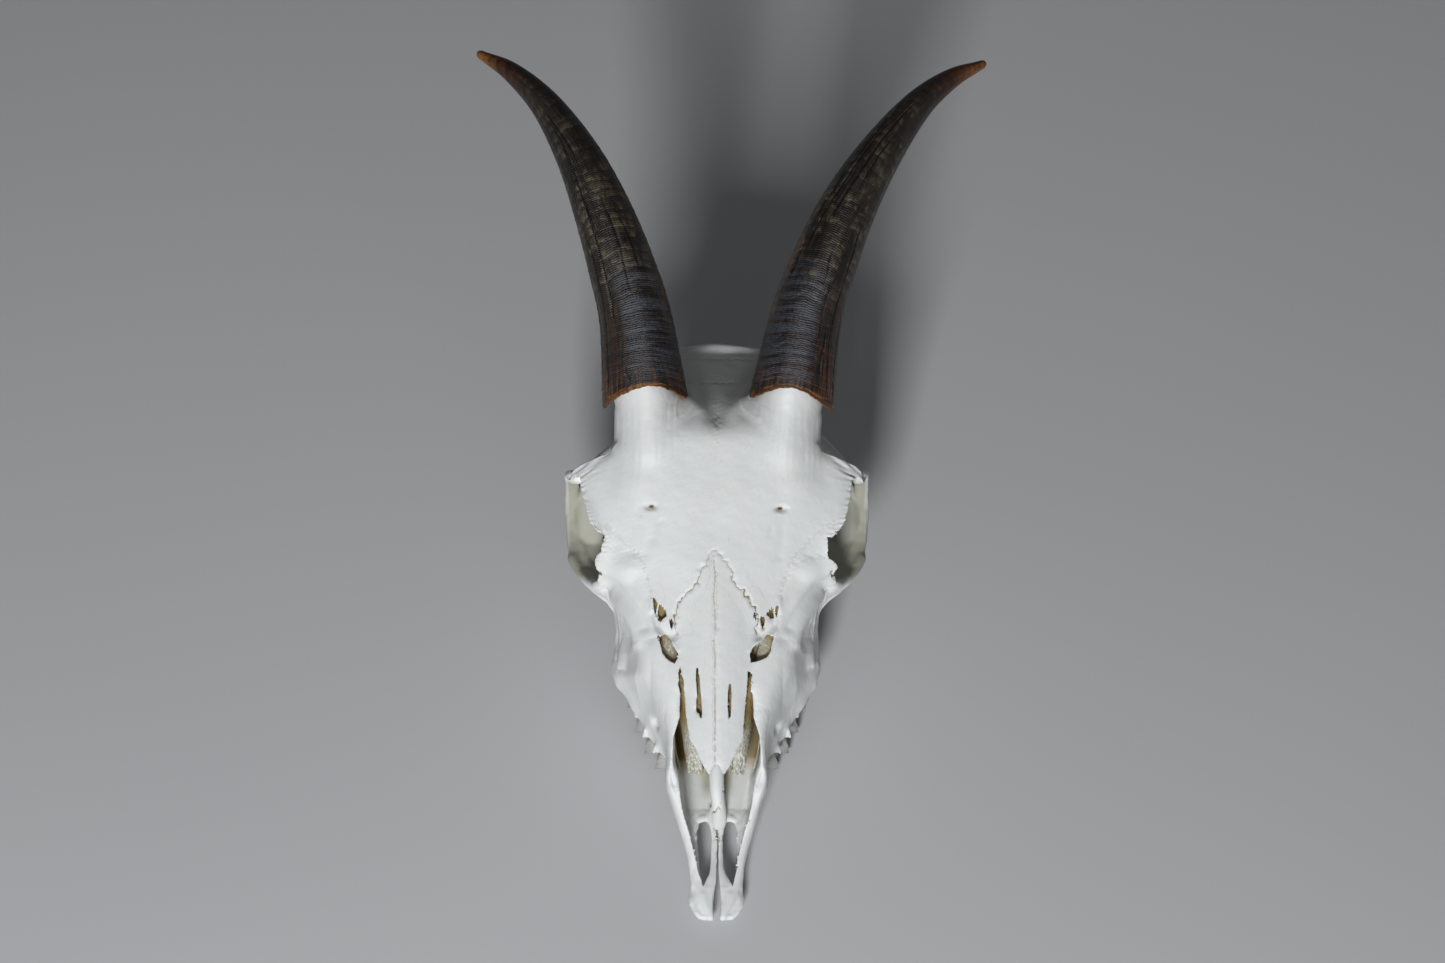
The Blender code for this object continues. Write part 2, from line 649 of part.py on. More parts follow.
NASAL_OUTLINE = (
    (0.15, 143.5), (10.3, 124.8), (14.2, 116.2), (15.4, 107.6), (13.1, 95.2), (12.1, 79.6), (10.5, 70.2),
    (8.0, 66.3), (5.7, 60.8), (2.9, 56.2), (0.8, 60.2), (0.15, 66),
)
NASAL_SLOTS = {-1: (5.9, 7.9, 79.5, 97.5), 1: (4.2, 5.8, 79, 90.8)}
NOTCH_OUTLINE = (
    (-14, 113), (14, 113), (15.8, 107.4), (14.8, 99), (14.2, 90), (14.4, 79), (17, 70.5),
        (17.6, 58), (17, 48),
    (-17, 48), (-17.6, 58), (-17, 70.5), (-14.4, 79), (-14.2, 90), (-14.8, 99), (-15.8, 107.4),
)
NOTCH_FLOOR = -9.0
PALATINE_FISSURE = (
    (2.4, 10.4), (4.2, 9.8), (6.4, 15.5), (7.6, 25.5), (7.2, 34.5), (5.6, 37), (3.4, 35.5), (2.5, 25.5),
)
INCISIVE_GAP = ((-1.4, -8), (1.4, -8), (1.3, 10.5), (0.4, 15.5), (-0.4, 15.5), (-1.3, 10.5))
LACRIMAL_FISSURES = (
    ((20.6, 117.5), (24.8, 124.6), (22.4, 118.2)),
    ((15.8, 100.5), (22.6, 109.6), (20.2, 111.4), (17.6, 108.6)),
)


def openings(core, masses, cutters):
    """The nasal cavity with its mouth, the slits of the palate and face, and the hole for the cord."""
    section_loft("cavity", CAVITY_STATIONS, cutters, per_span=1, round_span=2)
    prism("notch", NOTCH_OUTLINE, -70, NOTCH_FLOOR, from_face, cutters)
    boolean(core, cutters, "DIFFERENCE")
    empty_collection(cutters)
    for side in (-1, 1):
        nasal_slab("nasion", side, NASAL_CLEAR_ABOVE, SUTURE, masses, cutters)
    boolean(core, masses, "DIFFERENCE")
    empty_collection(masses)
    prism("incisive_gap", INCISIVE_GAP, -5, 40, from_above, cutters)
    sweep("spinal_hole", SPINAL_HOLE, cutters, sides=18)
    for side in (-1, 1):
        sheath_room(side, cutters)
        fissure = [(side * x, y) for x, y in PALATINE_FISSURE]
        prism("fissure", fissure, -5, 30, from_above, cutters)
        for outline in LACRIMAL_FISSURES:
            prism("slit", [(side * x, v) for x, v in outline], -60, -6, from_face, cutters)
    boolean(core, cutters, "DIFFERENCE")
    empty_collection(cutters)
    return core


# Outlines of the bones. Seen from the side as y and z, or on the face as x and along.
PREMAXILLA_REGION = (
    (-8, -8), (27, -8), (27, 11), (35, 19), (48, 33.5), (58, 44), (66, 50), (66, 60), (40, 62), (-8, 30),
)
ZYGOMATIC_REGION = (
    (99, 30), (104, 18), (125, 24), (150, 34), (176, 40), (169, 60), (165, 71), (152, 69),
        (139.7, 65), (114, 60),
    (104, 46),
)
LACRIMAL_REGION = (
    (43, 154), (30, 141), (24.6, 124), (22, 111), (30, 107), (37, 113), (43.5, 122), (50, 128), (56, 138),
    (52, 152),
)
MAXILLA_REGION = (
    (20, -8), (150, -8), (150, 32), (138, 43), (126, 51), (112, 57), (101, 56), (94, 68), (88, 82),
        (20, 82),
)
TEMPORAL_REGION = (
    (160, 46), (172, 38), (173, 12), (198, 12), (199, 42), (203, 56), (196, 68), (182, 72), (168, 66),
)
OCCIPITAL_REGION = (
    (186, -8), (182, 30), (180, 44), (198, 50), (204, 60), (205, 98), (236, 98), (236, -8),
)
PARIETAL_REGION = ((150, 57), (206, 48), (212, 130), (150, 130))
FRONTAL_REGION = (
    (70, 62), (100, 50), (120, 53), (140, 57), (162, 58), (168, 71), (178, 77), (188, 89),
        (190, 112), (190, 170),
    (70, 150),
)
PEDICLE_ZONE = 1.0
HALF_REACH = 90.0
FACE_REACH = (-80.0, 8.0)
MALAR_INNER_X = 37.5
TEMPORAL_INNER_X = 15.5


def divide(core, parts, cutters):
    """The core's bones as parts, in an order in which each takes what the ones before it left."""
    bones = {}
    for side in (-1, 1):
        word = "left" if side < 0 else "right"

        def side_take(bone, outline, inner):
            low, high = sorted((side * inner, side * HALF_REACH))
            bones[bone, side] = take(
                core, bone + "_" + word, outline, low, high, from_side, parts, cutters
            )

        side_take("premaxilla", PREMAXILLA_REGION, SUTURE / 2)
        side_take("zygomatic", ZYGOMATIC_REGION, MALAR_INNER_X)
        outline = [(side * x, along) for x, along in LACRIMAL_REGION]
        bones["lacrimal", side] = take(
            core, "lacrimal_" + word, outline, *FACE_REACH, from_face, parts, cutters
        )
        side_take("maxilla", MAXILLA_REGION, SUTURE / 2)
        side_take("temporal", TEMPORAL_REGION, TEMPORAL_INNER_X)
    take(core, "occipital", OCCIPITAL_REGION, -HALF_REACH, HALF_REACH, from_side, parts, cutters)
    for side in (-1, 1):
        word = "left" if side < 0 else "right"
        low, high = sorted((side * SUTURE / 2, side * HALF_REACH))

        def stalk(grow, collection):
            return pedicle(side, collection, PEDICLE_ZONE + grow)

        bones["frontal", side] = take(
            core, "frontal_" + word, FRONTAL_REGION, low, high, from_side, parts, cutters, stalk
        )
    take(core, "parietal", PARIETAL_REGION, -HALF_REACH, HALF_REACH, from_side, parts, cutters)
    core.name = "sphenoid"
    keep_largest(core)
    return bones


def tooth(start, end, outer, width, lobes, side, collection):
    """One cheek tooth: a fluted outer face, a round inner one for each lobe, a worn rim round a basin."""
    steps = 4 * lobes
    length = end - start
    outline = []
    for i in range(steps + 1):
        t = i / steps
        flute = 0.7 * math.cos(2 * math.pi * t * lobes)
        outline.append((outer + flute, start + length * t))
    for i in range(steps + 1):
        t = 1 - i / steps
        bulge = abs(math.sin(math.pi * t * lobes)) ** 0.7
        outline.append((outer - width + 2.4 - 2.4 * bulge, start + 0.4 + (length - 0.8) * t))
    rings = []
    inset = TOOTH_WORN_BAND
    levels = (
        (TOOTH_ROOT_Z, 1.4), (TOOTH_NECK_Z, 0.35), (3.0, 0.0), (0.5, 0.15), (0.0, 0.5),
        (0.0, 0.5 + inset),
        (TOOTH_BASIN, 1.0 + inset),
    )
    middle = Vector((outer - width / 2, (start + end) / 2))
    for z, by in levels:
        by *= width / TEETH[-1][3]
        ring = []
        for x, y in outline:
            share_x = 1 - 2 * by / width
            share_y = 1 - 2 * by / length
            ring.append(
                (side * (middle.x + (x - middle.x) * share_x), middle.y + (y - middle.y) * share_y, z)
            )
        rings.append(ring)
    return loft("tooth", rings, collection)


def nasal_slab(name, side, lift, grow, collection, cutters):
    """The arched plate of one nasal bone cut to its outline. lift raises its top, grow widens it."""
    rings = []
    for along in np.linspace(50, 150, 8):
        share = along / NASAL_BACK_ALONG
        roof = NASAL_FRONT_DEPTH + (NASAL_BACK_DEPTH - NASAL_FRONT_DEPTH) * share
        arch = [(side * x, roof + NASAL_ARCH * max(x, 0) ** 2) for x in np.linspace(-1, 19, 8)]
        top = [from_face(x, along, deep - lift) for x, deep in arch]
        below = [from_face(x, along, deep + NASAL_THICKNESS + grow) for x, deep in reversed(arch)]
        rings.append(top + below)
    slab = loft(name, rings, collection)
    outline = [(side * x, along) for x, along in grown(NASAL_OUTLINE, grow)]
    boolean(slab, prism("region", outline, -70, 0, from_face, cutters), "INTERSECT")
    empty_collection(cutters)
    return slab


def nasal_bone(name, side, parts, cutters):
    """One nasal bone with the slot through it."""
    bone = nasal_slab(name, side, 0.0, 0.0, parts, cutters)
    inner, outer, start, end = NASAL_SLOTS[side]
    slot = [
        (inner + 0.4, start), (outer - 0.4, start), (outer, start + 2), (outer - 0.3, end - 1),
        (inner + 0.6, end),
        (inner, start + 3),
    ]
    prism("slot", [(side * x, v) for x, v in slot], -70, 0, from_face, cutters)
    boolean(bone, cutters, "DIFFERENCE")
    empty_collection(cutters)
    return keep_largest(bone)


VOMER = (
    (0, 39, 15.2, 1.6, 2.4), (0, 48, 17.6, 2.8, 3), (0, 62, 20, 2.8, 3.8), (0, 80, 22.6, 2.4, 4.8),
    (0, 98, 25.4, 2.2, 5.4), (0, 110, 29, 2, 5.4),
)
TURBINATE = (
    (12.6, 50, 31, 4.4, 4.6), (14, 58, 34, 5.4, 7), (17, 70, 39, 6.6, 8.6), (19.6, 84, 45, 8, 9.2),
    (22.6, 98, 50, 8.6, 8.6), (20.6, 109, 54, 6.6, 6),
)


CAVITY_CLEARANCE = 0.45


def inside_cavity(thing, cutters):
    """Trims an object to the nasal cavity, just clear of its walls."""
    stations = []
    for y, half in CAVITY_STATIONS:
        roof_mid, roof, wall, floor, floor_mid = half
        stations.append((y, (
            (0, roof_mid[1] - CAVITY_CLEARANCE),
            (roof[0] - CAVITY_CLEARANCE, roof[1] - CAVITY_CLEARANCE),
            (wall[0] - CAVITY_CLEARANCE, wall[1]),
            (floor[0] - CAVITY_CLEARANCE, floor[1] + CAVITY_CLEARANCE),
            (0, floor_mid[1] + CAVITY_CLEARANCE),
        )))
    boolean(thing, section_loft("room", stations, cutters, per_span=1, round_span=2), "INTERSECT")
    empty_collection(cutters)
    return keep_largest(thing)


def rest_on_floor(parts, cutters):
    """Wears the two processes flat at the floor and puts the origin under the middle of the whole."""
    ground = box("ground", (-HALF_REACH, -20, -30), (HALF_REACH, 300, 0), cutters)
    boolean(bpy.data.objects["occipital"], ground, "DIFFERENCE")
    empty_collection(cutters)
    corners = np.array([v.co for thing in parts.objects for v in thing.data.vertices])
    low, high = corners.min(axis=0), corners.max(axis=0)
    shift = Vector((-(low[0] + high[0]) / 2, -(low[1] + high[1]) / 2, -low[2]))
    for thing in parts.objects:
        for vertex in thing.data.vertices:
            vertex.co += shift


def build():
    clear_scene()
    parts = new_collection("goat_skull")
    masses = new_collection("masses", shown=False)
    cutters = new_collection("cutters", shown=False)
    core = skull_core(parts, masses, cutters)
    openings(core, masses, cutters)
    bones = divide(core, parts, cutters)
    for side in (-1, 1):
        word = "left" if side < 0 else "right"
        for row in TEETH:
            tooth(*row, side, masses)
        boolean(bones["maxilla", side], masses, "UNION")
        empty_collection(masses)
        horn_core(side, masses)
        boolean(bones["frontal", side], masses, "UNION")
        empty_collection(masses)
        horn_sheath("horn_" + word, side, parts, cutters)
        nasal_bone("nasal_" + word, side, parts, cutters)
        turbinate = sweep("turbinate_" + word, mirrored(TURBINATE, side), parts, sides=8, per_span=2)
        inside_cavity(turbinate, cutters)
    inside_cavity(sweep("vomer", VOMER, parts, sides=8, per_span=2), cutters)
    rest_on_floor(parts, cutters)
    return parts


build()
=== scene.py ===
"""Goat skull with its horn sheaths, seen squarely on its face, on a pale floor in soft studio light."""

import json
import math

import bmesh
import bpy
import numpy as np
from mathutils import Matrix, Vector
from mathutils.bvhtree import BVHTree

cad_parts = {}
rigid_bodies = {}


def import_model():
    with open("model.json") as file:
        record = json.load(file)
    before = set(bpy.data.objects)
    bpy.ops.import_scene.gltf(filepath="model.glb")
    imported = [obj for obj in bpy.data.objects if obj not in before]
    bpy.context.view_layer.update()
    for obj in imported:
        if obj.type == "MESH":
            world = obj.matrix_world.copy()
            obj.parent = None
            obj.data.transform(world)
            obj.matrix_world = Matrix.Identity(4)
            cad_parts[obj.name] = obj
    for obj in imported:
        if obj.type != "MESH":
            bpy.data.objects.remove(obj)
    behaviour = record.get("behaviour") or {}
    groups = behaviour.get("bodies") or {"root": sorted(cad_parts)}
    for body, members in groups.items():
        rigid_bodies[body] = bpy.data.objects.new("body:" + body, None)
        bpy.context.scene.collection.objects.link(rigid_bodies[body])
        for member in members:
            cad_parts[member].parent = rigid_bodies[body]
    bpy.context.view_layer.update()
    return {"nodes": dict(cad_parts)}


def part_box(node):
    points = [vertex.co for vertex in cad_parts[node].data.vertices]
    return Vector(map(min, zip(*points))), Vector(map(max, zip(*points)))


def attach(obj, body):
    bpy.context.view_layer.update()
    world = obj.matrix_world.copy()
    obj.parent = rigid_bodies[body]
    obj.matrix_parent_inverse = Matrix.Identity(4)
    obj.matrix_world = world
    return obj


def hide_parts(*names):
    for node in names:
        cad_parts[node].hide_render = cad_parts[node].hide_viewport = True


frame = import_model()


# The cranium: the bones of the face and braincase, grown together at their sutures in life and bleached
# white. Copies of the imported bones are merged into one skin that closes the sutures, the skin is smoothed
# and carved, and each bone keeps its own share of it as a shell.
MM = 0.001
FACE_TILT = math.radians(28)
FACE_START = 1.9
MIDLINE_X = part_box("nasal_left")[1].x / MM + 0.15
MUZZLE_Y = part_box("nasal_left")[0].y / MM - 41.17
BONES = [
    bone + side
    for bone in ("frontal", "lacrimal", "maxilla", "nasal", "premaxilla", "temporal", "zygomatic")
    for side in ("_left", "_right")
] + ["occipital", "parietal", "sphenoid"]
SUTURE_CLOSING = 0.22
SKIN_VOXEL = 0.62
SKIN_SMOOTHING = 22
FACET_ROUNDS, FILL_ROUNDS = 60, 420
FRAY_STEP = 0.9
BONE_REACH = 5.0
TOOTH_CUT_Z = 12.4
SHELL = 0.7
ORIGIN = np.array((MIDLINE_X, MUZZLE_Y, 0))


def in_scene(points):
    """Places in millimetres from the muzzle's tip and the midline, moved to the frame and into metres."""
    return (points + ORIGIN) * MM


def unit(rows):
    """The rows, each scaled to a length of 1."""
    return rows / np.linalg.norm(rows, axis=1)[:, None]


def held(values):
    """The values held between 0 and 1."""
    return np.clip(values, 0, 1)


def bell(offset, half):
    """1 where the offset is 0, fading smoothly on both sides."""
    return np.exp(-((offset / half) ** 2))


def as_object(name, data):
    """A new object in the scene with its mesh, lamp or lens."""
    made = bpy.data.objects.new(name, data)
    bpy.context.scene.collection.objects.link(made)
    return made


def as_mesh(name, bm):
    """The bmesh's contents as a mesh."""
    mesh = bpy.data.meshes.new(name)
    bm.to_mesh(mesh)
    bm.free()
    return mesh


def merged_copy(node):
    """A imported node's mesh as a bmesh with its loose triangles joined."""
    bm = bmesh.new()
    bm.from_mesh(frame["nodes"][node].data)
    bmesh.ops.remove_doubles(bm, verts=bm.verts, dist=1e-6)
    bm.normal_update()
    return bm


def add_piece(name, mesh, material, *nodes, slot="bone"):
    """Puts a finished mesh in the scene as a piece that rides on the model in place of its nodes."""
    piece = as_object(name, mesh)
    mesh.materials.clear()
    mesh.materials.append(material)
    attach(piece, "root")
    if nodes:
        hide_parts(*nodes)
    return piece


def tube_mesh(name, rows, marks=None):
    """A closed mesh whose rings are the given rows of points. The first and last rings are drawn together.
    Each mark is an attribute, with its value at each point of the rows."""
    rings, sides = rows.shape[:2]
    bm = bmesh.new()
    bmesh.ops.create_grid(bm, x_segments=sides, y_segments=rings - 1, size=1)
    wrapped = np.concatenate([rows, rows[:, :1]], axis=1)
    wrapped[0], wrapped[-1] = wrapped[0, :-1].mean(axis=0), wrapped[-1, :-1].mean(axis=0)
    for vertex, place in zip(bm.verts, in_scene(wrapped).reshape(-1, 3)):
        vertex.co = place
    for key, values in (marks or {}).items():
        layer = bm.verts.layers.float.new(key)
        values = np.concatenate([values, values[:, :1]], axis=1).ravel()
        for vertex, value in zip(bm.verts, values.tolist()):
            vertex[layer] = value
    bmesh.ops.remove_doubles(bm, verts=bm.verts, dist=2e-6)
    bmesh.ops.recalc_face_normals(bm, faces=bm.faces)
    if bm.calc_volume(signed=True) < 0:
        bmesh.ops.reverse_faces(bm, faces=bm.faces)
    for face in bm.faces:
        face.smooth = True
    return as_mesh(name, bm)


def curve_through(stations, per_span):
    """Rows of a smooth curve through rows of numbers."""
    rows = np.array(stations, float)
    rows = np.vstack([2 * rows[0] - rows[1], rows, 2 * rows[-1] - rows[-2]])
    made = []
    for before, start, end, after in zip(rows, rows[1:], rows[2:], rows[3:]):
        for t in np.arange(per_span) / per_span:
            bend = (2 * before - 5 * start + 4 * end - after) * t**2
            turn = (3 * start - before - 3 * end + after) * t**3
            made.append(0.5 * (2 * start + (end - before) * t + bend + turn))
    return np.array(made + [rows[-2]])


def evenly(rows, step):
    """The rows of a curve resampled at even steps of length, and the length along it of each."""
    length = np.concatenate([[0], np.cumsum(np.linalg.norm(np.diff(rows[:, :3], axis=0), axis=1))])
    at = np.linspace(0, length[-1], int(length[-1] / step) + 1)
    return np.stack([np.interp(at, length, column) for column in rows.T], axis=1), at


def lengthwise_body(name, stations, side, sides, step):
    """A closed body whose oval sections follow stations of x, y, z, half width and half height."""
    line, _ = evenly(curve_through(stations, 20), step)
    centre = line[:, :3] * (side, 1, 1)
    ahead = unit(np.gradient(centre, axis=0))
    across = unit(np.cross(ahead, (0, 0, 1)))
    upwards = np.cross(across, ahead)
    turn = np.linspace(0, 2 * math.pi, sides, endpoint=False)
    rows = (
        centre[:, None]
        + across[:, None] * (line[:, 3, None] * np.cos(turn))[..., None]
        + upwards[:, None] * (line[:, 4, None] * np.sin(turn))[..., None]
    )
    ends = [rows[0] * (1 - s) + centre[0] * s for s in (1, 0.6, 0.3, 0.1)]
    more = [rows[-1] * (1 - s) + centre[-1] * s for s in (0.1, 0.3, 0.6, 1)]
    rows = np.array([*ends, *rows, *more])
    around = np.repeat(turn[None, :], len(rows), axis=0)
    return tube_mesh(name, rows, {"turn_cos": np.cos(around), "turn_sin": np.sin(around)})


def from_face(x, place, depth):
    """A point in space from its place on the face and its depth behind the observer's plane."""
    reach = place + FACE_START
    slant, rise = math.cos(FACE_TILT), math.sin(FACE_TILT)
    return np.array((x, reach * slant + depth * rise, reach * rise - depth * slant))


def on_face(stations):
    """Stations of x, place along the face, depth and more numbers, moved from the face into space."""
    return [(*from_face(*station[:3]), *station[3:]) for station in stations]


def frayed(outline, ragged, seed):
    """The outline with a point every millimetre or so, moved at random by up to a distance."""
    rng = np.random.default_rng(seed)
    made = []
    for start, end in zip(outline, outline[1:] + outline[:1]):
        start, end = np.array(start), np.array(end)
        steps = max(1, int(np.linalg.norm(end - start) / FRAY_STEP))
        for i in range(steps):
            place = start + (end - start) * i / steps
            made.append(tuple(place + (rng.uniform(-ragged, ragged, 2) if i else 0)))
    return made


def face_cutter(bm, outline, near, far):
    """Adds to a bmesh a prism through the face over an outline of x and place along the face."""
    verts = [bm.verts.new(in_scene(from_face(*p, near))) for p in outline]
    base = bm.faces.new(verts)
    new = bmesh.ops.extrude_face_region(bm, geom=[base])["geom"]
    way = Vector(from_face(0, 0, far) - from_face(0, 0, near)) * MM
    bmesh.ops.translate(bm, verts=[v for v in new if isinstance(v, bmesh.types.BMVert)], vec=way)


# Openings cut through the skin, each with its outline as x and place along the face, its near and far depth,
# and how ragged its edge is: the muzzle's slot and clefts, the gaps below the tear bones, the long slits
# beside the nose, the worn slots of the nose bones, and what lies outside the brow and the tear bones.
FACE_OPENINGS = (
    (((-2, -3.5), (-1, -1.5), (-1.3, 2.1), (-1.1, 7.7), (-0.4, 12), (-0.1, 16.3), (-0.2, 18.5),
      (0.1, 20.2), (-0.1, 22.9), (0.2, 25.7), (0.1, 28.5), (-0.2, 31.2), (0.2, 35), (0.5, 35), (0.3, 31.2),
      (0.6, 28.5), (0.8, 25.7), (0.6, 22.9), (0.8, 20.2), (0.7, 18.5), (0.8, 16.3), (1.1, 13), (1.5, 8.7),
      (1.9, 3.7), (1.5, -1.5), (2.6, -3.5)), -14, 16, 0.03),
    (((-3.9, 34.6), (-5.2, 33.8), (-5.9, 32.6), (-7, 29.4), (-7.4, 25.1), (-7.3, 21.5), (-7, 17.5),
      (-6.2, 13.9), (-5.4, 10.6), (-4.4, 12.7), (-2.9, 15.4), (-2.5, 18.3), (-2.3, 21.7), (-2.1, 25.5),
      (-2, 29.3), (-2.3, 32.2), (-3.1, 34.5)), -6, 16, 0.03),
    (((4.4, 34.6), (5.8, 34), (6.7, 32.9), (7.5, 30.6), (8, 28), (8.4, 25.1), (8.5, 22.4), (8, 20),
      (8, 17.5), (7.3, 14.3), (6.4, 10.8), (4.7, 13.7), (3.4, 18), (3, 21.9), (2.7, 25.6), (3.1, 29.3),
      (4.2, 32.6)), -6, 16, 0.05),
    (((-25.2, 125.6), (-24.2, 125), (-23.1, 123.4), (-23.9, 119.5), (-24.1, 118.6), (-24.7, 121.3)),
      -30, -7, 0.06),
    (((-22.5, 123.2), (-22, 122.4), (-21.8, 123), (-21.3, 121.5), (-20.9, 122.2), (-20.6, 120.5),
      (-20.1, 121.1), (-19.8, 119.3), (-19.5, 118.2), (-20.9, 117.2), (-22, 115.9), (-23, 116.6),
      (-23.5, 118.6)), -30, -7, 0.06),
    (((-18.6, 117.7), (-18.1, 116.6), (-17.7, 117.6), (-17, 116), (-17.2, 114.7), (-17.6, 113.1),
      (-18.2, 113.9), (-18.5, 115.8)), -30, -7, 0.06),
    (((-23.2, 110.9), (-22.4, 110.3), (-21.1, 109.3), (-19.7, 108.5), (-17.7, 107.5), (-16.4, 106.3),
      (-15.2, 104.3), (-14.8, 102.6), (-15.6, 101.2), (-16.5, 99.7), (-17.7, 100.3), (-18.7, 100.9),
      (-20.1, 102), (-21.3, 103.6), (-21.8, 105.7), (-22.4, 108)), -30, -7, 0.16),
    (((-14.4, 98.2), (-15.1, 95.9), (-14.7, 93.2), (-15, 90.9), (-14.1, 87.8), (-14.3, 83.9),
      (-14.2, 81.1), (-13.6, 78.5), (-14.7, 75.7), (-15.5, 71.8), (-16.5, 68.6), (-11.5, 68.6),
      (-10.9, 72.9), (-11.6, 76.3), (-12.2, 80.8), (-12.7, 86.3), (-12.9, 91.9), (-13.7, 97)),
      -30, -9, 0.24),
    (((-7.9, 98.2), (-7.3, 98.2), (-6.6, 93.6), (-6.1, 87), (-5.6, 81.1), (-5.9, 78.5), (-6.6, 79),
      (-7.3, 83.9), (-7.8, 89.7), (-8.1, 94.4)), -30, -12, 0.05),
    (((4.9, 92), (5.6, 91.9), (5.9, 88.1), (5.8, 83.5), (5.5, 79.2), (4.7, 78.4), (4.3, 83.1),
      (4.4, 87.8)), -30, -12, 0.05),
    (((12.1, 96.9), (12.1, 95.3), (11.6, 87), (10.9, 79.7), (10.4, 73), (10.7, 68.6), (15.6, 68.6),
      (14.7, 70.2), (13.6, 75.3), (12.9, 79.2), (13.1, 84.2), (13.3, 88), (13.6, 92.4), (13.9, 96.4)),
      -30, -9, 0.14),
    (((22.3, 110.8), (21.3, 110), (19.7, 109.2), (18.4, 108.7), (16.2, 107.8), (14.4, 106.5),
      (13.3, 104.5), (13, 102.6), (13.3, 100.3), (14.6, 100.3), (16.1, 100.6), (17.7, 101.2), (19.5, 101.9),
      (20.7, 103.4), (21.4, 104.8), (21.7, 106.9)), -30, -7, 0.16),
    (((23.9, 122.5), (24.5, 121.7), (24, 120.1), (23.5, 117.8), (22.9, 119.7), (23.2, 121.7)),
      -30, -7, 0.05),
    (((22.4, 122.1), (22.2, 121), (21.6, 121.9), (21.2, 120.4), (20.7, 121.2), (20.4, 119.6),
      (19.8, 119.9), (19.5, 118.6), (20.5, 118), (21.1, 117), (22.4, 117.4), (22.6, 119.7)), -30, -7, 0.06),
    (((18.5, 118.6), (17.9, 117.8), (17.4, 118.4), (17, 117), (17.4, 114.7), (18.1, 112.7), (18.7, 114.7),
      (19, 117)), -30, -7, 0.06),
    (((14.6, 119.8), (15.1, 119.8), (16, 116.6), (15.4, 116)), -30, -9, 0.03),
    (((-53.5, 171.8), (-53.3, 167.7), (-52.6, 165.8), (-51.1, 159.9), (-49.7, 155), (-46.6, 151.1),
      (-43.9, 149.9), (-44.3, 148.2), (-45.3, 145.3), (-45.5, 143.1), (-47.8, 142), (-48.2, 139.4),
      (-47.5, 136.5), (-46, 134.6), (-62, 134.6), (-62, 171.6), (-57.4, 171.6), (-56.6, 173), (-55.4, 173.5),
      (-54.2, 173)), -32, -0.5, 0.2),
    (((53, 171.2), (53, 169.1), (52.6, 164.8), (51.6, 160.9), (50.6, 156), (48.7, 152.6), (45.2, 149),
      (43.5, 149), (43.8, 144.3), (44, 140.9), (46.2, 139.4), (47.7, 137.5), (47.2, 134.8), (46, 133.4),
      (62, 133.4), (62, 170.2), (58.4, 170.2), (57.4, 171.7), (55.8, 172.4), (54.2, 172.2)), -32, -0.5, 0.2),
)
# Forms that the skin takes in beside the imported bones, placed by x, place along the face and depth: the inner
# rods of the muzzle, with their half width and half height, and webs from one place to another. Webs fill the
# brow at the horns' feet, close each orbit below, round each tear bone's lobe and edge the muzzle's clefts.
MUZZLE_ROD = (
    (3.0, 3.5, -3.6, 1.8, 1.6), (3.2, 7.6, -3.2, 2.8, 1.8), (3.0, 10.7, -2.6, 3.0, 1.8),
    (2.4, 12.8, -2.0, 2.6, 1.8), (1.8, 15.5, -1.0, 2.1, 1.7), (1.35, 18.3, 0.2, 1.8, 1.6),
    (1.15, 21.9, 1.6, 1.7, 1.5), (1.05, 29.5, 3.7, 1.7, 1.5), (1.3, 32.6, 4.2, 1.8, 1.5),
    (1.8, 34.8, 4.6, 2.0, 1.5), (1.3, 42, 5.2, 1.5, 1.5),
)
WEBS = (
    ((17, 188, -15), (17, 208, -6), 7, 6), ((36, 168, -12.5), (36, 190, -13), 6, 5),
    ((51.3, 176, 23), (50.8, 140, 30), 6.4, 1.8), ((45.4, 143.6, -11), (45.2, 134, -7.5), 3.3, 0.9),
    ((2.4, 37.4, 5.6), (8.8, 36.2, 5.2), 2.0, 1.6),
)


def cut_open(mesh, openings):
    """A bmesh of the mesh with openings of the face cut through it."""
    cutters = bmesh.new()
    for seed, (outline, near, far, ragged) in enumerate(openings):
        face_cutter(cutters, frayed(outline, ragged, seed), near, far)
    bmesh.ops.recalc_face_normals(cutters, faces=cutters.faces)
    holders = [as_object("bone", mesh.copy()), as_object("cutters", as_mesh("cutters", cutters))]
    cut = holders[0].modifiers.new("cut", "BOOLEAN")
    cut.operation = "DIFFERENCE"
    cut.solver = "MANIFOLD"
    cut.object = holders[1]
    graph = bpy.context.evaluated_depsgraph_get()
    opened = bmesh.new()
    opened.from_mesh(holders[0].evaluated_get(graph).to_mesh())
    for holder in holders:
        bpy.data.meshes.remove(holder.data)
    opened.normal_update()
    return opened


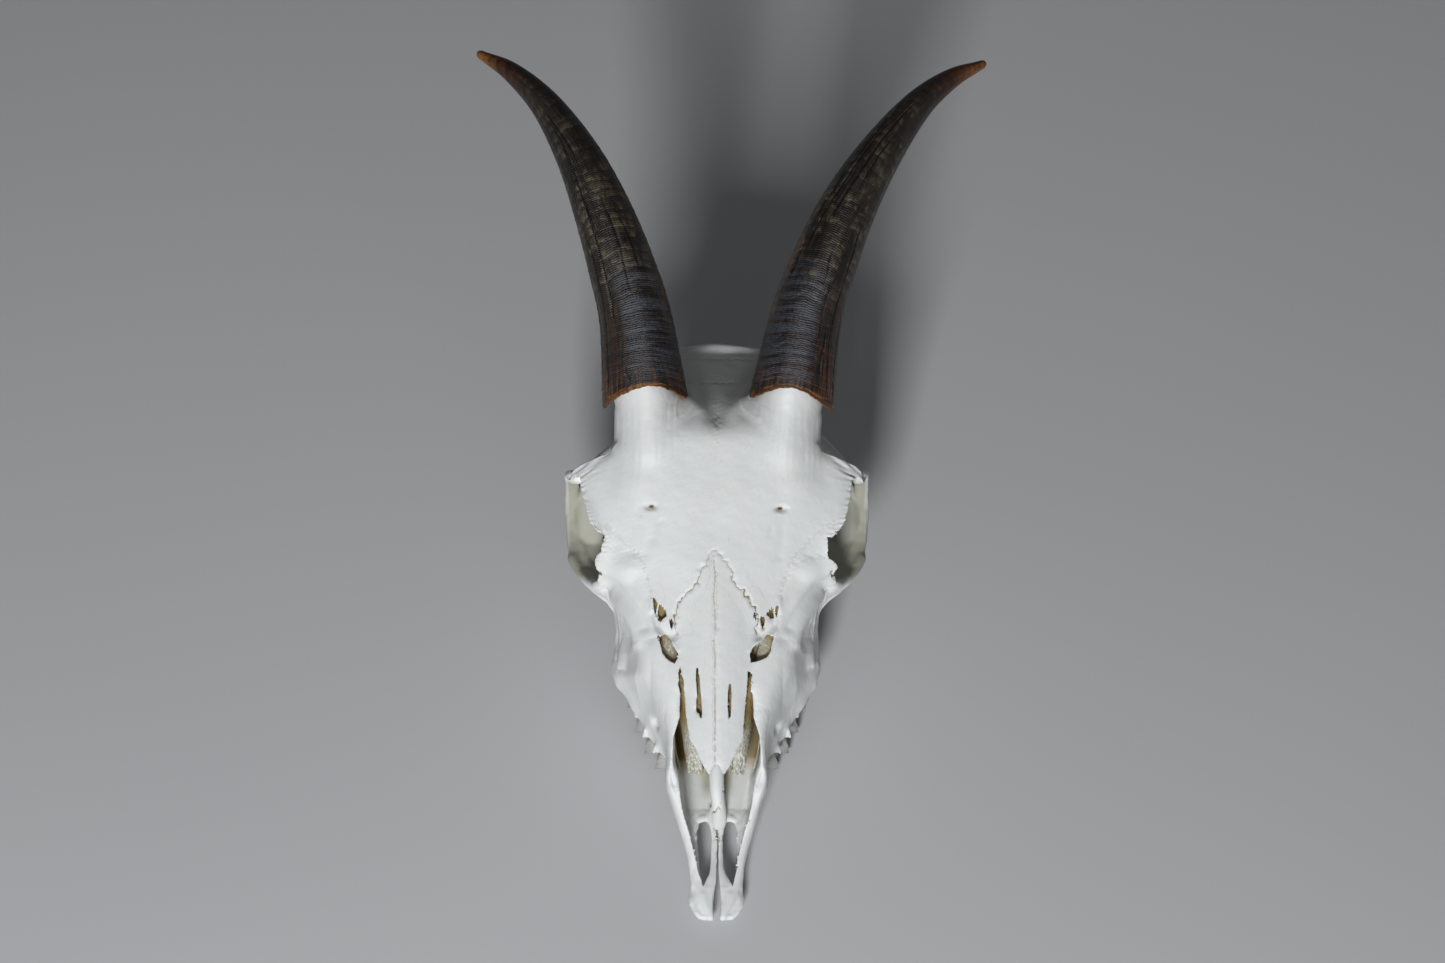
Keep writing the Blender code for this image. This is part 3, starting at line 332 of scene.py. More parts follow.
def skull_skin():
    """An object with one closed skin over all the bones."""
    joined = bmesh.new()
    scratch = bpy.data.meshes.new("scratch")
    for node in BONES:
        bm = merged_copy(node)
        for vertex in bm.verts:
            vertex.co += vertex.normal * SUTURE_CLOSING * MM
        if node.startswith("maxilla"):
            cut = bmesh.ops.bisect_plane(
                bm, geom=bm.verts[:] + bm.edges[:] + bm.faces[:], dist=1e-7,
                plane_co=(0, 0, TOOTH_CUT_Z * MM), plane_no=(0, 0, 1), clear_inner=True,
            )
            rim = [e for e in cut["geom_cut"] if isinstance(e, bmesh.types.BMEdge)]
            bmesh.ops.holes_fill(bm, edges=rim, sides=0)
        bm.to_mesh(scratch)
        bm.free()
        joined.from_mesh(scratch)
    for side in (-1, 1):
        joined.from_mesh(lengthwise_body("muzzle_rod", on_face(MUZZLE_ROD), side, 16, 1.0))
        for start, end, *half in WEBS:
            start, end, half = from_face(*start), from_face(*end), np.array(half)
            sizes = ((0, (1, 1)), (0.25, 0.85 * half), (0.5, half), (0.75, 0.85 * half), (1, (1, 1)))
            stations = [(*(start * (1 - t) + end * t), *size) for t, size in sizes]
            joined.from_mesh(lengthwise_body("web", stations, side, 20, 1.0))
    joined.to_mesh(scratch)
    joined.free()
    holder = as_object("skin", scratch)
    remesh = holder.modifiers.new("skin", "REMESH")
    remesh.mode = "VOXEL"
    remesh.voxel_size = SKIN_VOXEL * MM
    graph = bpy.context.evaluated_depsgraph_get()
    holder.data = bpy.data.meshes.new_from_object(holder.evaluated_get(graph))
    holder.modifiers.clear()
    return holder


def read(items, key, width, kind=float):
    """A value of each item of a mesh, in rows as wide as the value is."""
    flat = np.empty(len(items) * width, kind)
    items.foreach_get(key, flat)
    return flat.reshape(-1, width) if width > 1 else flat


def read_points(mesh):
    """The mesh's vertices as rows in millimetres back from the muzzle's tip and out from the midline."""
    return read(mesh.vertices, "co", 3) / MM - ORIGIN


def read_normals(mesh):
    """The mesh's vertex normals as rows."""
    return read(mesh.vertices, "normal", 3)


def write_points(mesh, points):
    """Moves the mesh's vertices to rows of places in millimetres."""
    mesh.vertices.foreach_set("co", in_scene(points).ravel())
    mesh.update()


def towards_neighbours(rows, ends, valence):
    """From each row to the middle of the rows that its edges lead to."""
    total = [
        np.bincount(ends[:, 0], column[ends[:, 1]], len(rows))
        + np.bincount(ends[:, 1], column[ends[:, 0]], len(rows))
        for column in rows.T
    ]
    return np.stack(total, axis=1) / valence - rows


def eased(points, edges, rounds):
    """Rows of points smoothed along edges without shrinking."""
    valence = np.bincount(edges.ravel(), minlength=len(points))[:, None].clip(1)
    for _ in range(rounds):
        points = points + 0.5 * towards_neighbours(points, edges, valence)
        points = points - 0.52 * towards_neighbours(points, edges, valence)
    return points


def face_places(points):
    """How far along the face from the muzzle, and how deep behind the observer's plane, each point lies."""
    along = points[:, 1] * math.cos(FACE_TILT) + points[:, 2] * math.sin(FACE_TILT) - FACE_START
    deep = points[:, 1] * math.sin(FACE_TILT) - points[:, 2] * math.cos(FACE_TILT)
    return along, deep


def distance_to(path, first, second):
    """Distance in a plane from rows (first, second) to a line through the path's pairs."""
    best = np.full(len(first), 1e3)
    for (ax, ay), (bx, by) in zip(path, path[1:]):
        dx, dy = bx - ax, by - ay
        share = ((first - ax) * dx + (second - ay) * dy) / (dx * dx + dy * dy)
        share = share.clip(0, 1)
        best = np.minimum(best, np.hypot(first - ax - share * dx, second - ay - share * dy))
    return best


def diffused(points, edges, share, rounds):
    """Where points end up when each keeps moving towards its neighbours' middle, by its share of the way."""
    moving = share > 0.01
    touched = edges[moving[edges].any(axis=1)]
    used = np.unique(np.concatenate([touched.ravel(), np.flatnonzero(moving)]))
    local = np.full(len(points), -1)
    local[used] = np.arange(len(used))
    ends = local[touched]
    near = points[used]
    valence = np.bincount(ends.ravel(), minlength=len(used))[:, None].clip(1)
    for _ in range(rounds):
        near = near + towards_neighbours(near, ends, valence) * share[used][:, None]
    moved = points.copy()
    moved[used] = near
    return moved


skin = skull_skin()
edges = read(skin.data.edges, "vertices", 2, np.int32)
points = eased(read_points(skin.data), edges, SKIN_SMOOTHING)
write_points(skin.data, points)
points -= read_normals(skin.data) * SUTURE_CLOSING
write_points(skin.data, points)
normals = read_normals(skin.data)

# The facets are smoothed off, and the brow and the muzzle's tips are filled so that their forms join.
TOWARDS = np.array((0, -math.sin(FACE_TILT), math.cos(FACE_TILT)))
along, deep = face_places(points)
facing = normals @ TOWARDS
out = np.abs(points[:, 0])


def band(values, low, high, soft):
    """1 between low and high, fading to 0 over soft on both sides."""
    return held((values - low) / soft) * held((high - values) / soft)


gentle = 0.8 * held(facing * 3 - 0.6) * band(along, 50, 232, 8) * held(1.6 - deep / 10)
gentle *= np.clip((out - 1.2) / 2, 0.3, 1)
points = diffused(points, edges, gentle, FACET_ROUNDS)
out = np.abs(points[:, 0])
brow = 0.9 * held(facing * 2 + 0.9) * band(along, 140, 214, 14) * held((46 - out) / 6)
brow *= held(1.6 - deep / 12)
brow += 0.7 * held(facing * 3) * band(along, 1, 40, 4) * held((14 - out) / 2)
filled = diffused(points, edges, brow, FILL_ROUNDS)
outward = ((filled - points) * normals).sum(axis=1)
points += normals * np.where(outward > 0, outward, 0.25 * outward)[:, None]

# The bars between the gaps beside the nose are hollowed, the brow's outer corners are brought forward, the
# arches behind it are drawn to where they show, and the openings are cut.
BAR_HOLLOWS = (
    ((-24.0, 118.4), (-23.2, 114.6), (-20.6, 112.6), (-17.6, 110.6)),
    ((23.2, 118.4), (22.4, 114.8), (20.1, 113), (17.2, 110.6)),
)
along, deep = face_places(points)
for path in BAR_HOLLOWS:
    sunk = bell(distance_to(path, points[:, 0], along), 2.0)
    points -= TOWARDS * (1.9 * sunk * held((-5 - deep) / 2))[:, None]
out = np.abs(points[:, 0])
shelf = held(read_normals(skin.data) @ TOWARDS * 4 + 0.4) * band(out, 41, 60.5, 3)
shelf *= band(along, 160, 184, 3)
shelf *= held((along - np.interp(out, (50, 54, 58), (164, 171.6, 172.4))) / 1.5)
drop = np.clip(deep - np.interp(out, (38, 48, 54, 60), (-12.5, -11.5, -9, -5)), 0, 16)
points += TOWARDS * (0.8 * shelf * drop * held((14 - deep) / 6))[:, None]
behind = bell(along - 190, 12) * held((deep - 20) / 8)
points[:, 0] += 5.5 * behind * held((-points[:, 0] - 34) / 6)
points[:, 0] -= 2.0 * behind * held((points[:, 0] - 34) / 6)
write_points(skin.data, points)
opened = cut_open(skin.data, FACE_OPENINGS)
opened.to_mesh(skin.data)
opened.free()
edges = read(skin.data.edges, "vertices", 2, np.int32)
points = read_points(skin.data)
normals = read_normals(skin.data)


def nearest_bones(points):
    """For each point the nearest bone and the second nearest, and how far it lies to the first's side of
    the suture between them."""
    count = len(points)
    first = np.full(count, -1)
    second = np.full(count, -1)
    near = np.full(count, 1e3)
    next_near = np.full(count, 1e3)
    for index, node in enumerate(BONES):
        low, high = (np.array(corner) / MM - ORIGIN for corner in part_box(node))
        inside = np.flatnonzero(((points > low - BONE_REACH) & (points < high + BONE_REACH)).all(axis=1))
        bm = merged_copy(node)
        tree = BVHTree.FromBMesh(bm)
        bm.free()
        for i in inside:
            found = tree.find_nearest(in_scene(points[i]), min(next_near[i], BONE_REACH) * MM)
            if found[0] is None:
                continue
            far = found[3] / MM
            if far < near[i]:
                second[i], next_near[i] = first[i], near[i]
                first[i], near[i] = index, far
            elif far < next_near[i]:
                second[i], next_near[i] = index, far
    return first, second, (next_near - near) / 2


owner, neighbour, seam = nearest_bones(points)
cheek = np.where(points[:, 0] < 0, BONES.index("zygomatic_left"), BONES.index("zygomatic_right"))
owner = np.where(owner < 0, cheek, owner)


# Carving of the cranium. Every mark is given by its place on the face, as x from the midline and distance
# along the face from the muzzle as the observer sees them, in millimetres, or by its place in space where the
# face doesn't show it.
ORBIT_CENTRE = (139.7, 65.0)
VIEW_DISTANCE, VIEW_DEPTH, VIEW_MIDDLE = 1250, -22, 171
AIR_REACH = 22.0 * MM
along, deep = face_places(points)
out = np.abs(points[:, 0])
facing = normals @ TOWARDS
on_front = held(facing * 4 - 0.4) * held(2 - deep / 4)
low_front = held(facing * 4) * held(5 - deep / 8)
view = 1 + (deep - VIEW_DEPTH) / VIEW_DISTANCE
seen_x, seen_along = points[:, 0] / view, VIEW_MIDDLE + (along - VIEW_MIDDLE) / view
relief = np.zeros(len(points))
dark = np.zeros(len(points))
shade = np.zeros(len(points))


def dab(x, place, half_x, half_along, height, where=on_front, darken=0.0):
    """Raises or sinks a round patch of the face, and can darken it with painted shade, as in a deep hole."""
    global relief, dark
    spread = ((seen_x - x) / half_x) ** 2 + ((seen_along - place) / half_along) ** 2
    relief += height * np.exp(-spread) * where
    dark += darken * np.exp(-1.6 * spread) * where


def stroke(path, half, height, where=on_front, darken=0.0):
    """Raises or sinks a ridge or groove that follows a path on the face."""
    global relief, dark
    mark = bell(distance_to(path, seen_x, seen_along), half) * where
    relief += height * mark
    dark += darken * mark


def strokes(path, *how):
    """The same stroke on both sides."""
    for side in (-1, 1):
        stroke([(side * x, place) for x, place in path], *how)


def spot(centre, half, height):
    """Raises or sinks a round patch anywhere in space, on both sides."""
    global relief
    for side in (-1, 1):
        offset = points - (side * centre[0], centre[1], centre[2])
        relief += height * np.exp(-((offset**2).sum(axis=1) / half**2))


def wander(points, scale, seed):
    """A smooth seeded wave field about 1 high, for marks that mustn't look ruled."""
    rng = np.random.default_rng(seed)
    total = np.zeros(len(points))
    for _ in range(7):
        way = rng.normal(size=3)
        way /= np.linalg.norm(way)
        total += np.sin(points @ way * (2 * math.pi / scale) * rng.uniform(0.6, 1.7) + rng.uniform(0, 6.3))
    return total / 2.6


# Nerve holes over the eyes with their grooves, and the small pits and arches beside them, darkened with painted
# shade.
for x, place in ((-25.9, 161.1), (25.2, 160.3)):
    dab(x, place, 1.8, 0.95, -3.4, darken=0.85)
stroke(((-25.7, 159), (-24.9, 156), (-24.6, 149)), 2.2, -0.3)
stroke(((26.3, 158.8), (25.2, 155), (25.6, 149), (24.6, 142)), 2.0, -0.25)
stroke(((-22.6, 154.6), (-20.9, 155.8), (-19.9, 154.2)), 1.0, -0.15)
stroke(((22.9, 156), (21.6, 153.5), (21.2, 150)), 1.3, -0.2)
dab(-29.6, 157.8, 0.7, 0.7, -0.2, darken=0.7)
dab(-28.6, 159.4, 0.6, 0.6, -0.15, darken=0.5)
dab(24, 157.3, 0.7, 0.7, -0.2, darken=0.7)
stroke(((-31, 159), (-30, 161.5), (-27.5, 163.4)), 1.2, -0.15)

# Pillars of the brow that carry the horns, and the hollows beside and between them.
strokes(((24.5, 204), (27, 188), (30, 172)), 6.5, 1.0)
strokes(((11.5, 206), (6.5, 199)), 3.0, 1.0)
for side in (-1, 1):
    dab(side * 41.5, 176, 5, 9, -1.0)
    dab(side * 12, 183, 5, 12, -0.5)
dab(0, 197.5, 5, 6, -1.5)
dab(0, 178, 9, 12, -0.4)
dab(0, 150, 16, 14, -0.35)

# Rolled rim under each eye and the groove along it, and the hole in the right tear bone; the hole and the
# hollow inside the rim are darkened with painted shade.
RIM = (
    (56.5, 141), (53.2, 135.6), (49.3, 131.8), (43.9, 128.3), (38.8, 124), (34.9, 119), (32.2, 113.9),
    (30.6, 108),
)
strokes(RIM, 2.0, 1.3, low_front)
rim_groove = ((51.5, 137.5), (47.5, 134.2), (44, 132.6), (39.2, 130), (35.1, 125), (31.4, 119.5), (29, 114))
strokes(rim_groove, 2.1, -1.1, low_front)
strokes(((32.5, 131.5), (28.6, 125.5), (27, 117), (25.8, 110)), 2.8, -0.8, low_front, 0.1)
for side in (-1, 1):
    dab(side * 37, 137, 6, 5, 0.6)
dab(45.5, 135.3, 0.9, 0.8, -1.6, darken=0.8)
rim_x, rim_place = zip(*reversed(RIM))
beyond = np.abs(seen_x) - np.interp(seen_along, rim_place, rim_x) - 1.6
step = held(beyond / 1.8) * bell(beyond, 10) * band(seen_along, 104, 130, 6)
relief -= 1.3 * step * low_front

# The swollen end of each cheek ridge, knobbed on the left, and the thick front ends of the upper jaw bones.
outward = held(np.abs(normals[:, 0]) * 2.5 - 0.6) * held((out - 10) / 4) * (along < 110)
swelling = outward * held((out - 26) / 4) * held((points[:, 2] - 15) / 4)
for x, place, half, height in ((-37, 94, 9, 2.2), (-40.5, 96.2, 2.6, 0.5), (37, 92, 10, 1.9)):
    relief += height * bell(seen_along - place, half) * swelling * (points[:, 0] * x > 0)
relief += 1.3 * bell(seen_along - 54, 7.5) * outward * held((14 - deep) / 8)

# The turned-up lower lip of the hollow bar between the two openings beside each nose bone.
stroke(((-25.4, 127.5), (-25, 116), (-23.6, 111.8), (-20.9, 110), (-17.5, 108.4), (-14.9, 105.2)), 0.8, 0.35)
stroke(((24.8, 126), (24.6, 116), (22.8, 111.4), (18.5, 109.5), (14.9, 107.9), (12.6, 105.2)), 0.8, 0.35)
# Painted shade on the hollow bars and plates under the upper gaps.
for x, place, half_x, half_along, darken in (
    (-20.6, 116.6, 3, 2, 0.5), (-17, 113.6, 1.8, 2.4, 0.5), (17.5, 113.6, 2, 3.2, 0.5),
    (21.4, 116.4, 2.2, 2, 0.4), (-21, 113, 4, 3, 0.15), (19.5, 113, 4, 3, 0.15), (14.8, 108.9, 1.5, 1.4, 0.3),
):
    dab(x, place, half_x, half_along, 0, darken=darken)

# Holes for the nerve of the upper lip, each with the groove that runs down from it; the holes are darkened with
# painted shade.
for x, place in ((-25.1, 76.2), (25.1, 73.8)):
    side = math.copysign(1, x)
    lateral = held(normals[:, 0] * side * 3) * held(2 - deep / 5)
    dab(x, place, 1.6, 2.1, -3.0, lateral, darken=0.8)
    stroke(((x, place - 2), (x - side * 1.2, place - 8), (x - side * 3, place - 15)), 2.0, -0.9, lateral)
    strip = np.exp(-(((seen_x - x + side) / 2.2) ** 2 + ((seen_along - place + 9) / 6.5) ** 2)) * lateral
    relief -= 0.35 * strip * held(wander(points, 2.2, 18))

# Crinkled edge of the brow round each eye: short ridges that run in from the rim, longest at its corner.
turn = np.arctan2(points[:, 2] - ORBIT_CENTRE[1], points[:, 1] - ORBIT_CENTRE[0])
crinkle = np.sin(turn * 74 + 2.0 * wander(points, 14, 3))
crinkle += 0.6 * np.sin(turn * 131 + 1.7 * wander(points, 9, 4))
corner = np.exp(-(((out - 53) / 5.5) ** 2) - ((along - 175 + 0.35 * (out - 53)) / 3.8) ** 2)
brow_edge = (
    (53.3, 172), (52.6, 165.3), (51.4, 160.4), (50.2, 155.5), (47.5, 151.6), (44, 149.5), (44.8, 143),
    (48, 138.5),
)
crinkle *= held((facing - 0.2) * 3)
crinkle *= 0.3 * corner + 0.22 * bell(distance_to(brow_edge, out, along), 1.4)
relief += crinkle * on_front

# Fine streaks that run up the pillars, and the thick lips and hollow soles of the muzzle's tips.
streaks = wander(points * (1, 0.1, 0.1), 1.5, 41) + wander(points * (1, 0.07, 0.07), 2.6, 42)
relief += 0.035 * streaks * on_front * band(along, 168, 208, 12) * band(out, 12, 46, 5)
strokes(((9.8, 11), (7.6, 6), (4.4, 0)), 1.4, -0.9)
strokes(((5.2, 10), (3.6, 5), (2.8, 1)), 1.2, 0.35)
spot(from_face(10.4, 5, -2), 3.2, 0.9)
ahead = normals @ np.array((0, -math.cos(FACE_TILT), -math.sin(FACE_TILT)))
relief += 0.8 * held(ahead * 1.2) * held((8 - along) / 7)

# Root ridges over the cheek teeth. Each tooth: where it starts and ends along the jaw, its outer face, its
# width and its number of lobes.
TEETH = (
    (62.4, 68.6, 24.6, 6.5, 1), (69.2, 77.6, 29.0, 8.5, 1), (78.4, 88.6, 32.8, 10.5, 1),
    (89.4, 102.6, 36.0, 12.0, 2), (103.2, 118.2, 36.6, 12.5, 2), (118.8, 138.6, 35.2, 11.5, 2),
)
gum = bell(points[:, 2] - 14, 9) * held(np.abs(normals[:, 0]) * 2 - 0.4)
gum *= held((out - 20) / 4)
for start, end, outer, width, lobes in TEETH:
    for i in range(lobes):
        middle = start + (end - start) * (i + 0.5) / lobes
        relief += 0.9 * gum * bell(points[:, 1] - middle, 0.3 * (end - start) / lobes)

# Back of the skull: the crest's middle knob and keel, the ear holes, the jaw joints' hollows.
spot((0, 212.4, 79), 5.0, 0.55)
keel = bell(points[:, 0], 1.8) * held((points[:, 1] - 206) / 3)
relief += 0.9 * keel * bell(points[:, 2] - 70, 8)
for hollow in (
    ((41.5, 192, 50), 2.6, -3.4), ((36, 178, 45.5), 5.5, -1.3), ((18, 211.5, 62), 6.0, -0.7),
    ((17, 155, 60), 2.4, -2.4), ((13, 148, 54), 1.8, -1.6), ((11, 101, 17), 1.6, -1.4),
):
    spot(*hollow)

# How each kind of suture shows: how deep its groove is, how far it zigzags and how stained it is.
SUTURES = {
    ("frontal", "frontal"): (0.02, 0.4, 0.0),
    ("frontal", "lacrimal"): (0.08, 0.5, 0.12),
    ("lacrimal", "zygomatic"): (0.12, 0.3, 0.15),
    ("lacrimal", "maxilla"): (0.08, 0.5, 0.08),
    ("maxilla", "zygomatic"): (0.1, 0.4, 0.1),
    ("maxilla", "premaxilla"): (0.12, 0.4, 0.15),
    ("maxilla", "maxilla"): (0.2, 0.3, 0.4),
    ("premaxilla", "premaxilla"): (0.0, 0.0, 0.0),
    ("frontal", "zygomatic"): (0.15, 0.4, 0.3),
    ("temporal", "zygomatic"): (0.2, 0.5, 0.4),
    ("frontal", "parietal"): (0.15, 0.8, 0.25),
    ("parietal", "temporal"): (0.25, 0.6, 0.4),
}
OTHER_SUTURE = (0.12, 0.4, 0.15)
families = np.array([node.split("_")[0] for node in BONES] + [""])
groove_depth = np.zeros(len(points))
zigzag = np.zeros(len(points))
stain = np.zeros(len(points))
for a, b in np.ndindex(len(BONES), len(BONES)):
    meet = (owner == a) & (neighbour == b)
    kind = tuple(sorted((families[a], families[b])))
    groove_depth[meet], zigzag[meet], stain[meet] = SUTURES.get(kind, OTHER_SUTURE)
signed = np.where(owner < neighbour, seam, -seam) + zigzag * (
    0.7 * wander(points, 3.2, 11) + 0.25 * wander(points, 1.7, 12)
)

# The nose bones' back edge is a stained zigzag across the forehead, and a thin thread parts the two.
NASAL_EDGES = {
    -1: ((110, 15.6), (116.2, 16.4), (120.5, 16), (124, 14.7), (126.5, 12.5), (129.1, 9), (132.6, 6.8),
         (136.9, 6), (139.6, 3.8), (143.9, 1.2), (146, -2)),
    1: ((110, 15.4), (116.6, 16.1), (119.7, 15.7), (124, 13.1), (128.3, 10.9), (130, 8.3), (132.6, 6.6),
        (136.9, 5.7), (140.4, 3.1), (143.9, 0.4), (146, -2)),
}
roof = (facing > 0.2) & (deep < -8) & (out < 22)
nasal_roof = roof & (along > 111) & (along < 150)
saw_teeth = 0.36 * wander(points, 3.0, 15) + 0.13 * wander(points, 1.5, 16)
for side, edge in NASAL_EDGES.items():
    index = BONES.index("nasal_left") + (side > 0)
    mine = nasal_roof & (points[:, 0] * side > 0)
    inside = 0.62 * (np.interp(along, *zip(*edge)) - points[:, 0] * side) + saw_teeth
    other = np.where(families[neighbour] == "nasal", BONES.index("frontal_left") + (side > 0), neighbour)
    other = np.where(families[owner] == "nasal", other, owner)
    close = mine & (np.abs(inside) < 4)
    signed[close], groove_depth[close] = inside[close], 0.42
    stain[close] = np.clip((150 - along[close]) / 26, 0.35, 0.9)
    owner = np.where(mine & (inside > 0), index, np.where(mine, other, owner))
    neighbour = np.where(mine, -1, neighbour)
middle_thread = points[:, 0] + 0.7 - 0.25 * wander(points * (0, 1, 1), 9, 17)
between = roof & (along > 57) & (along < 141) & (np.abs(middle_thread) < np.abs(signed))
signed[between], stain[between], groove_depth[between] = 1.25 * middle_thread[between], 0.6, 0.35
stain[roof & (along <= 111) & ~between] = 0
relief -= groove_depth * bell(signed, 0.45)

# Grainy old sutures that the face shows between the brow and the tear bones.
GRAINY = (
    ((-44.3, 145.5), (-34.9, 143.9), (-29.1, 142.4), (-28.3, 136.9), (-26.7, 126.4)),
    ((43.1, 142.4), (34.5, 141.6), (29.1, 136.9), (26.3, 131), (24.8, 126.4)),
    ((0, 197), (0.6, 186)),
)
for path in GRAINY:
    stroke(path, 1.5, -0.14 * (1 + wander(points, 1.6, 21)))
relief += 0.03 * wander(points, 8, 31) + 0.012 * wander(points, 2.7, 32) + 0.012 * wander(points, 2.1, 33)

points += normals * relief[:, None]
write_points(skin.data, points)


def openness(mesh, points, normals):
    """How freely each point sees the outside, from 0 deep in a hollow to 1."""
    bm = bmesh.new()
    bm.from_mesh(mesh)
    tree = BVHTree.FromBMesh(bm)
    bm.free()
    side = unit(np.cross(normals, (0.3, 0.9, 0.3)))
    other = np.cross(normals, side)
    seen = np.zeros(len(points))
    starts = in_scene(points + normals * 0.5)
    ways = [(0, 0), (0.9, 0), (-0.45, 0.78), (-0.45, -0.78)]
    for u, v in ways:
        rays = normals + side * u + other * v
        for i, (start, ray) in enumerate(zip(starts, rays)):
            hit = tree.ray_cast(start, ray, AIR_REACH)
            seen[i] += 1 if hit[3] is None else hit[3] / AIR_REACH
    return seen / len(ways)


def set_marks(mesh, **marks):
    """Gives a mesh attributes, each with one value or one for each point."""
    for name, values in marks.items():
        mark = mesh.attributes.new(name, "FLOAT", "POINT")
        mark.data.foreach_set("value", np.full(len(mesh.vertices), values, np.float32))


open_air = openness(skin.data, points, normals)
# Painted shade: the rays' openness, less the marked darkening, turns the bone creamy and then ochre where
# little light gets in. The insides of the orbits and of the nostrils and the orbits' outer rims are painted a
# dull olive cream shade, darkest beside the septum, and the walls of the nose a brown shade further in. The
# nose's floor and the orbits are spared some of the rays' shade, and a dark suture line crosses the left orbit.
orbit = band(deep, 4, 60, 6) * band(along, 130, 178, 3) * band(out, 36, 60.0, 1.4)
shade += 0.95 * orbit * held(facing * 2 + 0.6)
shade += 0.7 * band(out, 55.6, 66, 0.8) * band(deep, -3, 40, 2) * band(along, 128, 172, 2)
stroke(((-58.5, 161.4), (-56, 161.1), (-53, 162.6)), 0.5, 0, low_front, 0.45)
nostril = held((np.interp(along, (27, 48.7, 62, 75), (7.4, 12, 14.5, 15)) - out) / 0.8)
nostril *= band(along, 30, 90, 6) * held((deep + 10) / 2)
shade += nostril * (0.2 + 0.8 * bell(out - 3.6, 2.6) * band(along, 44, 90, 5))
open_air = eased(open_air[:, None], edges, 3)[:, 0]
dark += 0.4 * nostril * bell(out - 4.8, 2) * band(along, 46, 62, 4)
walls = band(along, 49, 110, 12) * band(out, 4, 21, 1.5) * band(deep, -8, 40, 2)
dark += 0.8 * walls * held(1.2 - 2.5 * normals[:, 0] * np.sign(points[:, 0]))
floor_of_nose = band(along, 28, 54, 4) * held(18 - out) * held((deep + 1) / 2)
open_air = (open_air + (0.22 * floor_of_nose + 0.3 * orbit) * held(facing * 2) - dark).clip(0, 1)
set_marks(skin.data, shade=shade.clip(0, 1), open_air=open_air, suture=signed.clip(-4, 4), suture_stain=stain)


# The finish of the bone: bleached, faintly cool white, with painted shade that turns it creamier in hollows and
# ochre where little light reaches, with fine grain, pores darkened in the same hollow shade, and brown threads
# of dirt left in the open sutures.
class Nodes:
    """Adds shader nodes to one tree."""

    def __init__(self, tree):
        self.tree = tree

    def feed(self, socket, value):
        """Sets a socket to a value, or links it to an output."""
        if isinstance(value, bpy.types.NodeSocket):
            self.tree.links.new(value, socket)
        else:
            socket.default_value = value

    def add(self, kind, settings=None, **sockets):
        """A node with its settings and, by name or number, what each socket is fed."""
        made = self.tree.nodes.new(kind)
        for key, value in (settings or {}).items():
            setattr(made, key, value)
        for key, value in sockets.items():
            self.feed(made.inputs[int(key[1:]) if key[1:].isdigit() else key.replace("_", " ")], value)
        return made

    def maths(self, operation, first, second=0.0, third=0.0):
        return self.add("ShaderNodeMath", {"operation": operation}, i0=first, i1=second, i2=third).outputs[0]

    def times(self, *factors):
        made = factors[0]
        for factor in factors[1:]:
            made = self.maths("MULTIPLY", made, factor)
        return made

    def ramp(self, value, low, high, to_low=0.0, to_high=1.0):
        """Maps a value from low..high to to_low..to_high along a smooth step."""
        return self.add(
            "ShaderNodeMapRange", {"interpolation_type": "SMOOTHSTEP"},
            Value=value, From_Min=low, From_Max=high, To_Min=to_low, To_Max=to_high,
        ).outputs[0]

    def mix(self, share, first, second):
        """Two colours mixed, each a colour or an output."""
        return self.add("ShaderNodeMix", {"data_type": "RGBA"}, i0=share, i6=first, i7=second).outputs[2]

    def noise(self, place, scale, detail=3.0, rough=0.55):
        return self.add(
            "ShaderNodeTexNoise", Vector=place, Scale=scale, Detail=detail, Roughness=rough
        ).outputs[0]

    def mark(self, name):
        return self.add("ShaderNodeAttribute", {"attribute_name": name}).outputs["Fac"]


class Finish(Nodes):
    """A material whose colour is laid on in layers, on the piece's own coordinates."""

    def __init__(self, name, roughness, **constants):
        self.material = bpy.data.materials.new(name)
        self.material.use_nodes = True
        super().__init__(self.material.node_tree)
        self.shader = self.tree.nodes["Principled BSDF"]
        for key, value in {"Roughness": roughness, **constants}.items():
            self.shader.inputs[key.replace("_", " ")].default_value = value
        self.place = self.add("ShaderNodeTexCoord").outputs["Object"]
        self.colour = None

    def lay(self, share, colour):
        """Covers a share of the colour so far with another one."""
        self.colour = self.mix(share, self.colour, colour)

    def finished(self, height, strength, distance, roughness=None):
        """The material, with its colour, its bump and its roughness linked to the shader."""
        bump = self.add("ShaderNodeBump", Height=height, Strength=strength, Distance=distance)
        self.feed(self.shader.inputs["Base Color"], self.colour)
        self.feed(self.shader.inputs["Normal"], bump.outputs[0])
        if roughness is not None:
            self.feed(self.shader.inputs["Roughness"], roughness)
        return self.material


def bone_grain_group():
    """Colour mottling, pore mask and bump height of dry bone."""
    group = bpy.data.node_groups.new("bone_grain", "ShaderNodeTree")
    for key, kind in (("Place", "Vector"), ("Scale", "Float"), ("Porosity", "Float")):
        group.interface.new_socket(key, in_out="INPUT", socket_type="NodeSocket" + kind)
    for key in ("Mottle", "Pores", "Height"):
        group.interface.new_socket(key, in_out="OUTPUT", socket_type="NodeSocketFloat")
    nodes = Nodes(group)
    given = nodes.add("NodeGroupInput").outputs
    place = nodes.add(
        "ShaderNodeVectorMath", {"operation": "SCALE"}, i0=given["Place"], Scale=given["Scale"]
    ).outputs[0]
    clouds = nodes.noise(place, 55.0, 4.0, 0.6)
    fine = nodes.noise(place, 900.0, 4.0, 0.6)
    cells = nodes.add("ShaderNodeTexVoronoi", {"feature": "F1"}, Vector=place, Scale=1100.0)
    where = nodes.ramp(nodes.noise(place, 140.0, 2.0), 0.5, 0.72)
    pores = nodes.times(nodes.ramp(cells.outputs["Distance"], 0.28, 0.12), where, given["Porosity"])
    height = nodes.maths("MULTIPLY_ADD", pores, -0.9, nodes.times(fine, 0.35))
    height = nodes.maths("MULTIPLY_ADD", clouds, 0.3, height)
    nodes.add("NodeGroupOutput", Mottle=clouds, Pores=pores, Height=height)
    return group


